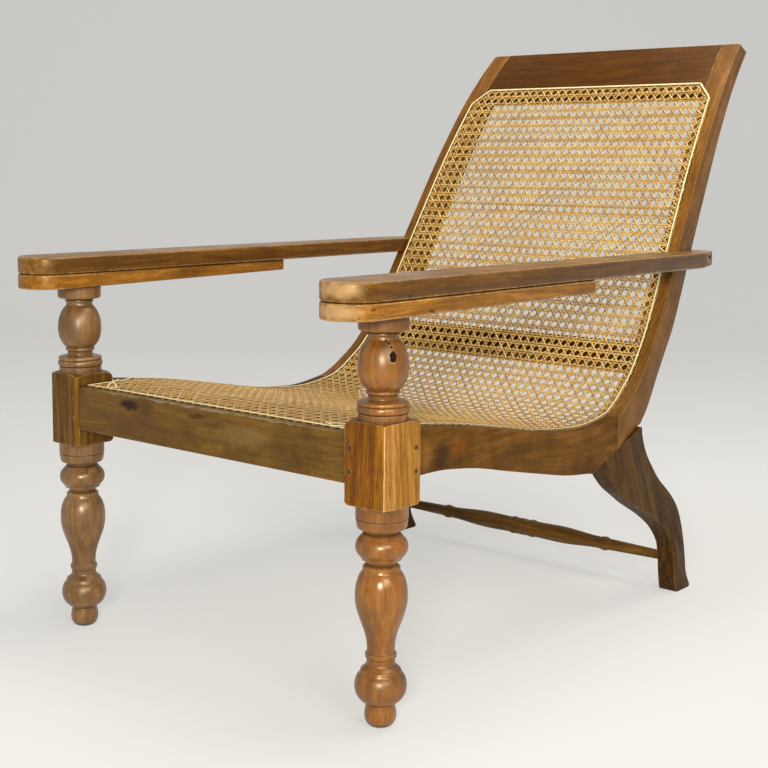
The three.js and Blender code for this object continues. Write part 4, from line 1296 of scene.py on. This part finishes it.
def bend_group():
    """Flat x, distance and height become places on the cane's line."""
    tree = bpy.data.node_groups.new("bend_onto_line", "GeometryNodeTree")
    given = tree_sockets(tree, [("Line", "Object", None), ("Lift", "Float", 0.0)])
    place = add(tree, "GeometryNodeInputPosition").outputs["Position"]
    flat = add(tree, "ShaderNodeSeparateXYZ", {"Vector": place})
    spot = add(tree, "GeometryNodeSampleCurve", {
        "Curves": line_curve(tree, given["Line"]), "Length": flat.outputs["Y"],
    }, mode="LENGTH", use_all_curves=True)
    out = maths(tree, "CROSS_PRODUCT", (1.0, 0.0, 0.0), spot.outputs["Tangent"], node=VECTORS)
    height = maths(tree, "ADD", flat.outputs["Z"], given["Lift"])
    raised = add(tree, VECTORS, {0: out, "Scale": height}, operation="SCALE").outputs["Vector"]
    across = add(tree, "ShaderNodeCombineXYZ", {"X": flat.outputs["X"]}).outputs["Vector"]
    based = maths(tree, "ADD", spot.outputs["Position"], raised, node=VECTORS)
    moved = add(tree, "GeometryNodeSetPosition", {
        "Geometry": given["Geometry"], "Position": maths(tree, "ADD", based, across, node=VECTORS),
    })
    add(tree, "NodeGroupOutput", {"Geometry": moved.outputs["Geometry"]})
    return tree


bend_onto_line = bend_group()
print(bend_onto_line.name, len(bend_onto_line.nodes), "nodes")

# %% Geometry Nodes: a flat strip's section, and the end of both trees


def swept_strip(tree, curve, given, top_share):
    """Sweep a strip, flat below and narrower on top, along a curve that lies flat."""
    upright = add(tree, "GeometryNodeSetCurveNormal", {"Curve": curve}, mode="Z_UP")
    section = add(tree, "GeometryNodeCurvePrimitiveQuadrilateral", {
        "Bottom Width": given["Width"], "Height": given["Thickness"], "Offset": 0.0,
        "Top Width": maths(tree, "MULTIPLY", given["Width"], top_share),
    }, mode="TRAPEZOID")
    strip = add(tree, "GeometryNodeCurveToMesh", {
        "Curve": upright.outputs["Curve"], "Profile Curve": section.outputs["Curve"],
        "Fill Caps": True,
    })
    return upright.outputs["Curve"], strip.outputs["Mesh"]


def painted_output(tree, geometry, given):
    """Give the geometry its material and hand it out."""
    painted = add(tree, "GeometryNodeSetMaterial", {
        "Geometry": geometry, "Material": given["Material"],
    })
    add(tree, "NodeGroupOutput", {"Geometry": painted.outputs["Geometry"]})
    return tree


def bent_output(tree, geometry, given):
    """Bend a flat sheet's geometry onto the line, give it its material and hand it out."""
    bent = add(tree, "GeometryNodeGroup", node_tree=bend_onto_line)
    tree.links.new(geometry, bent.inputs["Geometry"])
    for name in ("Line", "Lift"):
        tree.links.new(given[name], bent.inputs[name])
    return painted_output(tree, bent.outputs["Geometry"], given)


print("section and output are ready")

# %% Geometry Nodes: strands from starting points


def strand_group():
    """Points become strands: laid out, cut off and pulled in at the border, woven and bent."""
    tree = bpy.data.node_groups.new("woven_strands", "GeometryNodeTree")
    given = tree_sockets(tree, [
        ("Line", "Object", None), ("Lift", "Float", 0.0), ("Run", "Vector", (0, 0, 0)),
        ("Points", "Int", 10), ("Cane Length", "Float", 1.0), ("Base", "Float", 0.0),
        ("Wave", "Float", 0.0), ("Pitch", "Float", 1.0), ("Phase", "Float", 0.0),
        ("Width", "Float", 0.002), ("Thickness", "Float", 0.0005), ("Wander", "Float", 0.0003),
        ("Step", "Float", 0.005), ("Fan", "Float", 0.015), ("Dip", "Float", 0.001),
        ("Slope", "Float", 0.0), ("Snap", "Float", 0.0), ("Seed", "Int", 1),
        ("Material", "Material", None),
    ])
    run = add(tree, "GeometryNodeMeshLine", {"Count": given["Points"], "Offset": given["Run"]},
              mode="OFFSET")
    placed = add(tree, "GeometryNodeInstanceOnPoints", {
        "Points": given["Geometry"], "Instance": run.outputs["Mesh"],
    })
    real = add(tree, "GeometryNodeRealizeInstances", {"Geometry": placed.outputs["Instances"]})

    place = add(tree, "GeometryNodeInputPosition").outputs["Position"]
    flat = add(tree, "ShaderNodeSeparateXYZ", {"Vector": place})
    across, along = flat.outputs["X"], flat.outputs["Y"]
    width_here = add(tree, "GeometryNodeInputNamedAttribute", {"Name": "half_width"},
                     data_type="FLOAT")
    width = add(tree, "GeometryNodeSampleCurve", {
        "Curves": line_curve(tree, given["Line"]), "Length": along,
        "Value": width_here.outputs["Attribute"],
    }, mode="LENGTH", use_all_curves=True, data_type="FLOAT").outputs["Value"]

    # Points more than one step beyond the border are deleted
    def past(value, limit):
        return add(tree, "FunctionNodeCompare", {
            0: value, 1: maths(tree, "ADD", limit, given["Step"]),
        }, operation="GREATER_THAN").outputs["Result"]

    from_middle = maths(tree, "ABSOLUTE", across)
    outside = add(tree, "FunctionNodeBooleanMath", {
        0: past(from_middle, width), 1: past(along, given["Cane Length"]),
    }, operation="OR")
    kept = add(tree, "GeometryNodeDeleteGeometry", {
        "Geometry": real.outputs["Geometry"], "Selection": outside.outputs["Boolean"],
    }, domain="POINT")

    # The last point of each strand is pulled onto the border, and pairs close up to one hole there
    to_side = maths(tree, "SUBTRACT", width, from_middle)
    to_top = maths(tree, "SUBTRACT", given["Cane Length"], along)
    to_end = maths(tree, "MINIMUM", along, to_top)
    side_sign = maths(tree, "SIGN", across)
    over_side = maths(tree, "MULTIPLY", side_sign, maths(tree, "MINIMUM", to_side, 0.0))
    over_end = maths(tree, "MINIMUM", to_top, 0.0)
    side_pull = maths(tree, "SUBTRACT", 1.0, between(tree, to_side, 0.0, given["Fan"]))
    end_pull = maths(tree, "SUBTRACT", 1.0, between(tree, to_end, 0.0, given["Fan"]))
    pair = add(tree, "GeometryNodeInputNamedAttribute", {"Name": "pair"}, data_type="FLOAT_VECTOR")
    offset = add(tree, "ShaderNodeSeparateXYZ", {"Vector": pair.outputs["Attribute"]}).outputs

    # A diagonal also shifts along the border to the nearest hole
    rise = maths(tree, "MULTIPLY", maths(tree, "MULTIPLY", given["Slope"], side_sign), to_side)
    crossing = maths(tree, "SUBTRACT", maths(tree, "ADD", along, rise), given["Phase"])
    hole = maths(tree, "SNAP", maths(tree, "MULTIPLY_ADD", given["Pitch"], 0.5, crossing),
                 given["Pitch"])
    to_hole = maths(tree, "MULTIPLY", maths(tree, "SUBTRACT", hole, crossing), given["Snap"])
    pull_x = maths(tree, "SUBTRACT", over_side, maths(tree, "MULTIPLY", offset["X"], end_pull))
    pull_y = maths(tree, "SUBTRACT", maths(tree, "MULTIPLY_ADD", to_hole, side_pull, over_end),
                   maths(tree, "MULTIPLY", offset["Y"], side_pull))
    sunk = maths(tree, "MULTIPLY", maths(tree, "MAXIMUM", side_pull, end_pull),
                 maths(tree, "MULTIPLY", given["Dip"], -1.0))
    pulled = add(tree, "ShaderNodeCombineXYZ", {"X": pull_x, "Y": pull_y, "Z": sunk})

    # Over one neighbour and under the next, with a slight wander as of a hand
    turns = maths(tree, "DIVIDE", maths(tree, "SUBTRACT", along, given["Phase"]), given["Pitch"])
    cosine = maths(tree, "COSINE", maths(tree, "MULTIPLY", turns, 2 * math.pi))
    lifted = add(tree, "ShaderNodeCombineXYZ", {
        "Z": maths(tree, "MULTIPLY_ADD", cosine, given["Wave"], given["Base"]),
    })
    drift = add(tree, "ShaderNodeTexNoise", {
        "Vector": place, "Scale": 1 / (55 * MM), "Detail": 2.0,
    }).outputs["Color"]
    centred = maths(tree, "SUBTRACT", drift, (0.5, 0.5, 0.5), node=VECTORS)
    sideways = maths(tree, "MULTIPLY", centred, (1.0, 1.0, 0.0), node=VECTORS)
    wander = add(tree, VECTORS, {0: sideways, "Scale": given["Wander"]}, operation="SCALE")
    drawn = maths(tree, "ADD", lifted.outputs["Vector"], pulled.outputs["Vector"], node=VECTORS)
    woven = add(tree, "GeometryNodeSetPosition", {
        "Geometry": kept.outputs["Geometry"],
        "Offset": maths(tree, "ADD", drawn, wander.outputs["Vector"], node=VECTORS),
    })

    strands = add(tree, "GeometryNodeMeshToCurve", {"Mesh": woven.outputs["Geometry"]})
    tone = add(tree, "FunctionNodeRandomValue", {"Seed": given["Seed"]}, data_type="FLOAT")
    toned = add(tree, "GeometryNodeStoreNamedAttribute", {
        "Geometry": strands.outputs["Curve"], "Name": "tone", "Value": tone.outputs[1],
    }, data_type="FLOAT", domain="CURVE")
    _, swept = swept_strip(tree, toned.outputs["Geometry"], given, strand_top_share)
    return bent_output(tree, swept, given)


strand_top_share = 0.62
woven_strands = strand_group()
print(woven_strands.name, len(woven_strands.nodes), "nodes")

# %% Run a tree and keep its result as a plain mesh


def grow(name, tree, points, values, edges=(), vectors=None):
    """Put points into a tree, set its inputs by their identifiers and keep the mesh it makes.
    vectors is the name and the values, one per point, of an attribute that the tree reads."""
    mesh = bpy.data.meshes.new(name)
    mesh.from_pydata(points, edges, [])
    if vectors:
        attribute = mesh.attributes.new(vectors[0], "FLOAT_VECTOR", "POINT")
        attribute.data.foreach_set("vector", np.array(vectors[1], float).reshape(-1))
    piece = new_object(name, mesh)
    modifier = piece.modifiers.new("made_by_nodes", "NODES")
    modifier.node_group = tree
    for socket in tree.interface.items_tree:
        if socket.item_type == "SOCKET" and socket.in_out == "INPUT" and socket.name in values:
            modifier[socket.identifier] = values[socket.name]
    return applied(piece)


print("trees can be run")

# %% Lay the strands
pitch_across, pitch_along, pair_half = 17.6, 18.6, 2.45
first_row = pitch_along / 2
strand_width, strand_thickness, diagonal_width = 2.8, 0.5, 3.2
grid_wave, diagonal_wave = -0.33, 0.75
widest = 320.0
columns = int(widest / pitch_across)
rows_along = int(cane_length / pitch_along) + 1
quarter = pitch_along / 4
steps_along = int(cane_length / quarter) + 3
shared = {
    "Line": cane_line, "Lift": (cane_lift + 0.5) * MM, "Cane Length": cane_length * MM,
    "Pitch": pitch_along * MM, "Phase": first_row * MM, "Wander": 0.9 * MM,
    "Thickness": strand_thickness * MM, "Step": quarter * MM, "Fan": 15.0 * MM, "Dip": 1.2 * MM,
    "Material": cane,
}

upright_starts, upright_pairs, level_starts, level_pairs = [], [], [], []
for k in range(-columns, columns + 1):
    for half in (-pair_half, pair_half):
        upright_starts.append((half * MM + k * pitch_across * MM, 0.0, 0.0))
        upright_pairs.append((half * MM, 0.0, 0.0))
for j in range(rows_along):
    for half in (-pair_half, pair_half):
        level_starts.append((-widest * MM, (first_row + j * pitch_along + half) * MM, 0.0))
        level_pairs.append((0.0, half * MM, 0.0))


def diagonal_starts(sign):
    """Diagonals pass midway between the pairs' crossings, so they start half a column off."""
    reach = (cane_length / pitch_along) * pitch_across
    most = 3 * columns + rows_along + 1
    starts = []
    for m in range(-most, most):
        x = (m + 0.5) * pitch_across - sign * (first_row / pitch_along) * pitch_across
        if -widest - reach < x * sign < widest:
            starts.append((x * MM, 0.0, 0.0))
    return starts


weave = {
    "cane_front_to_back": (upright_starts, upright_pairs, {
        "Run": (0.0, quarter * MM, 0.0), "Points": steps_along, "Base": grid_wave * MM,
        "Wave": grid_wave * MM, "Width": strand_width * MM, "Seed": 3,
    }),
    "cane_side_to_side": (level_starts, level_pairs, {
        "Run": (quarter * MM, 0.0, 0.0), "Points": int(2 * widest / quarter) + 1,
        "Width": strand_width * MM, "Seed": 5,
    }),
}
for sign, weave_name, seed in ((1, "cane_diagonals_one", 7), (-1, "cane_diagonals_other", 9)):
    starts = diagonal_starts(sign)
    weave[weave_name] = (starts, [(0.0, 0.0, 0.0)] * len(starts), {
        "Run": (sign * quarter * pitch_across / pitch_along * MM, quarter * MM, 0.0),
        "Points": steps_along, "Wave": sign * diagonal_wave * MM, "Width": diagonal_width * MM,
        "Slope": sign * pitch_along / pitch_across, "Snap": 1.0, "Seed": seed,
    })
for weave_name, (starts, pairs, own) in weave.items():
    strands = grow(weave_name, woven_strands, starts, {**shared, **own}, vectors=("pair", pairs))
    if weave_name == "cane_front_to_back":
        finish_piece(strands, ROOT, "cane", "cane_panel")
    else:
        finish_piece(strands, ROOT, "cane")
    print(weave_name, len(strands.data.polygons), "faces")

# %% [markdown]
# ## Binder
# The strip that hides the ends of the strands is laid round the whole border and tied down at
# every hole by a thin loop. A tree sweeps a crowned section along the border in the flat sheet,
# sets a tie across it at every pitch and bends both onto the line. The few strips across the
# seat's front corners are laid by hand on the real chair, so they are laid one by one here too.

# %% Geometry Nodes: binder and ties


def binder_group():
    """A path becomes a crowned strip with a tie at every pitch, bent onto the line."""
    tree = bpy.data.node_groups.new("tied_binder", "GeometryNodeTree")
    given = tree_sockets(tree, [
        ("Line", "Object", None), ("Lift", "Float", 0.0), ("Width", "Float", 0.006),
        ("Thickness", "Float", 0.0014), ("Tie Pitch", "Float", 0.02), ("Tie Width", "Float", 0.002),
        ("Material", "Material", None),
    ])
    path = add(tree, "GeometryNodeMeshToCurve", {"Mesh": given["Geometry"]})
    upright, strip = swept_strip(tree, path.outputs["Curve"], given, binder_top_share)
    at_holes = add(tree, "GeometryNodeCurveToPoints", {
        "Curve": upright, "Length": given["Tie Pitch"],
    }, mode="LENGTH")
    tie_size = add(tree, "ShaderNodeCombineXYZ", {
        "X": maths(tree, "MULTIPLY", given["Width"], tie_over_width),
        "Y": maths(tree, "MULTIPLY", given["Thickness"], tie_over_thickness),
        "Z": given["Tie Width"],
    })
    tie = add(tree, "GeometryNodeMeshCube", {"Size": tie_size.outputs["Vector"]})
    rounded_tie = add(tree, "GeometryNodeSubdivisionSurface", {
        "Mesh": tie.outputs["Mesh"], "Level": 1,
    })
    ties = add(tree, "GeometryNodeInstanceOnPoints", {
        "Points": at_holes.outputs["Points"], "Instance": rounded_tie.outputs["Mesh"],
        "Rotation": at_holes.outputs["Rotation"],
    })
    real = add(tree, "GeometryNodeRealizeInstances", {"Geometry": ties.outputs["Instances"]})
    both = add(tree, "GeometryNodeJoinGeometry")
    tree.links.new(strip, both.inputs["Geometry"])
    tree.links.new(real.outputs["Geometry"], both.inputs["Geometry"])
    return bent_output(tree, both.outputs["Geometry"], given)


binder_top_share, tie_over_width, tie_over_thickness = 0.55, 1.25, 1.7
tied_binder = binder_group()
print(tied_binder.name, len(tied_binder.nodes), "nodes")

# %% Lay the binder


def chain(name, flat_points):
    """Sweep the binder along flat (across, distance) points."""
    return grow(name, tied_binder, [(x * MM, s * MM, 0.0) for x, s in flat_points], binder_values,
                edges=[(i, i + 1) for i in range(len(flat_points) - 1)])


binder_values = {
    "Line": cane_line, "Lift": (cane_lift + 1.2) * MM, "Width": binder_width * MM,
    "Thickness": 1.3 * MM, "Tie Pitch": pitch_along * MM, "Tie Width": 2.2 * MM,
    "Material": binder_cane,
}
half_binder = binder_width / 2
steps_up, steps_half_across = 260, 20
for side_name, side in SIDES.items():
    path = []
    for step in range(steps_up + 1):
        distance = cane_length * step / steps_up
        path.append((side * (cane_half_width(distance) - half_binder), distance))
    strip = chain(f"side_strip_{side_name}", path)
    finish_piece(strip, ROOT, "binder", f"side_binder_{side_name}")
    print(strip.name, len(strip.data.polygons), "faces")
for end_name, border, inwards in (("crest", cane_length, -1), ("front", 0, 1)):
    reach = cane_half_width(border) - binder_width
    strip = chain(f"{end_name}_strip", [
        (reach * (step / steps_half_across - 1), border + inwards * half_binder)
        for step in range(2 * steps_half_across + 1)
    ])
    finish_piece(strip, ROOT, "binder", f"{end_name}_binder")
    print(strip.name, len(strip.data.polygons), "faces")

# %% Ties across the seat's front corners


def laid_strips(name, runs, width_mm, thickness_mm, material):
    """Flat strips from point to point, for the few strands that are tied by hand."""
    bm = bmesh.new()
    for start, end in runs:
        start, end = Vector(start), Vector(end)
        along = (end - start).normalized()
        across = along.cross(Vector((0, 0, 1))).normalized() * width_mm / 2
        lift = Vector((0, 0, thickness_mm / 2))
        corners = [across + lift, lift - across, -across - lift, across - lift]
        ends = [[bm.verts.new(place + corner) for corner in corners] for place in (start, end)]
        for end_corners in ends:
            bm.faces.new(end_corners)
        wall(bm, *ends)
    return new_piece(name, bm, [material])


tie_level, tie_layer, tie_width, tie_thickness = rail_top + 2.2, 0.7, 2.6, 0.6
corner, outer_end, inner_end = (297, 44), (243, -12), (226, -5)
tie_runs = [(corner, outer_end), (corner, inner_end), (inner_end, outer_end),
            ((286, 47), (262, 14))]
for side_name, side in SIDES.items():
    ties = laid_strips(f"corner_ties_{side_name}", [
        [(side * x, y, tie_level + tie_layer * layer) for x, y in run]
        for layer, run in enumerate(tie_runs)
    ], tie_width, tie_thickness, binder_cane)
    finish_piece(ties, ROOT, "cane")
    print(ties.name, len(ties.data.polygons), "faces")

# %% [markdown]
# ## Pegs, and the painted shade of drilled holes
# Round pegs lock the rails' joints, and a row of small dark holes runs beside the binder, one for
# each pair of strands. These holes and the bolt hole at each arm's back end are not cut: each is a
# flat near-black disc, a painted shade. Both repeat, so both are made by one small tree: a low dome
# set on each point, turned to the direction that the point carries.

# %% Geometry Nodes: domes on points


def dome_group():
    """Points become low domes with a flat top, each turned outwards."""
    tree = bpy.data.node_groups.new("domes_on_points", "GeometryNodeTree")
    given = tree_sockets(tree, [
        ("Radius", "Float", 0.003), ("Height", "Float", 0.0004), ("Material", "Material", None),
    ])
    outward = add(tree, "GeometryNodeInputNamedAttribute", {"Name": "outward"},
                  data_type="FLOAT_VECTOR").outputs["Attribute"]
    turned = add(tree, "FunctionNodeAlignRotationToVector", {"Vector": outward}, axis="Z")
    dome = add(tree, "GeometryNodeMeshCone", {
        "Vertices": dome_sides, "Side Segments": 1, "Fill Segments": 1,
        "Radius Top": maths(tree, "MULTIPLY", given["Radius"], dome_top_share),
        "Radius Bottom": given["Radius"], "Depth": given["Height"],
    }, fill_type="NGON")
    placed = add(tree, "GeometryNodeInstanceOnPoints", {
        "Points": given["Geometry"], "Instance": dome.outputs["Mesh"],
        "Rotation": turned.outputs["Rotation"],
    })
    real = add(tree, "GeometryNodeRealizeInstances", {"Geometry": placed.outputs["Instances"]})
    return painted_output(tree, real.outputs["Geometry"], given)


dome_sides, dome_top_share = 20, 0.82
domes_on_points = dome_group()
print(domes_on_points.name, len(domes_on_points.nodes), "nodes")

# %% Pegs, pins, and painted shade for holes


def domes(name, spots, radius, height, material):
    """Domes on spots, which are (place in millimetres, outward direction) pairs."""
    return grow(name, domes_on_points, in_frame([place for place, _ in spots]), {
        "Radius": radius * MM, "Height": height * MM, "Material": material,
    }, vectors=("outward", [direction for _, direction in spots]))


peg_radius, peg_inset, peg_spacing = 3.5, 9.5, 33.0
front_peg_rise, side_peg_rise = 0.5, 0.7
peg_middle = (rail_top + front_rail_bottom) / 2
arm_pin_height, arm_peg_place, arm_peg_height = 9.0, 866.0, 18.0
pin_radius, pin_rise, pin_sunk, bolt_hole_radius, bolt_hole_rise, bolt_hole_turn = 2.4, 0.5, 1.4, 4.2, 0.6, 0.2
hole_gap, hole_radius, hole_rise = 2.4, 1.7, 0.3
for side_name, side in SIDES.items():
    for name, offset in (("lower", -0.5), ("upper", 0.5)):
        height = peg_middle + offset * peg_spacing
        front_place = (side * (leg_place - block_half + peg_inset), -block_half, height)
        side_place = (side * (leg_place + block_half), block_half - peg_inset, height)
        front_peg = domes(f"block_peg_front_{name}_{side_name}", [(front_place, (0, -1, 0))],
                          peg_radius, front_peg_rise, peg_wood if side > 0 else woods["block_left"])
        finish_piece(front_peg, ROOT, "peg_wood", f"front_rail_peg_{name}_{side_name}")
        side_peg = domes(f"block_peg_side_{name}_{side_name}", [(side_place, (side, 0, 0))],
                         peg_radius, side_peg_rise, peg_wood)
        finish_piece(side_peg, ROOT, "peg_wood", f"seat_rail_peg_{name}_{side_name}")
    pin_height = arm_top - arm_thickness + arm_pin_height
    pins = domes(f"arm_pin_ends_{side_name}", [
        ((side * arm_outer, 0, pin_height), (side, 0, 0)),
        ((side * (arm_inner_front + pin_sunk), 0, pin_height), (-side, 0, 0)),
    ], pin_radius, pin_rise, peg_wood)
    finish_piece(pins, ROOT, "peg_wood", f"arm_pin_{side_name}")
    taper = (arm_peg_place - arm_taper_start) / (arm_back - arm_taper_start)
    peg_x = arm_outer - (arm_outer - arm_end_outer) * taper
    # A near-black disc stands for the bolt hole at the arm's back end: painted shade
    bolt_hole_shade = domes(f"arm_plug_{side_name}", [
        ((side * peg_x, arm_peg_place, arm_top - arm_thickness + arm_peg_height),
         (side, bolt_hole_turn, 0)),
    ], bolt_hole_radius, bolt_hole_rise, dent_dirt_and_hole_shade)
    finish_piece(bolt_hole_shade, ROOT, "peg_wood", f"arm_peg_{side_name}")
    # Each hole beside the binder is a near-black disc, not a cut: painted shade
    spots = []
    for j in range(rows_along):
        distance = first_row + j * pitch_along
        if distance < block_run + cane_corner_run or distance > cane_length - cane_corner_run:
            continue
        spot, out = on_line(distance)
        place = (side * (cane_half_width(distance) + hole_gap), spot[0], spot[1])
        spots.append((place, (0, *out)))
    holes = domes(f"drilled_holes_{side_name}", spots, hole_radius, hole_rise, dent_dirt_and_hole_shade)
    finish_piece(holes, ROOT, "peg_wood")
    print(side_name, len(spots), "holes")

# %% [markdown]
# ## Hidden pieces
# The dowels between the rear leg and the side frame can't be seen, but they are real pieces of the
# model and keep their CAD meshes. They only need a finish.

# %% Finish what stays from the CAD model
dowels = [node for name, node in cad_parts.items() if "dowel" in name]
for dowel in dowels:
    dowel.data.materials.clear()
    dowel.data.materials.append(peg_wood)
bpy.data.objects.remove(cane_line)
print(len(dowels), "dowels")
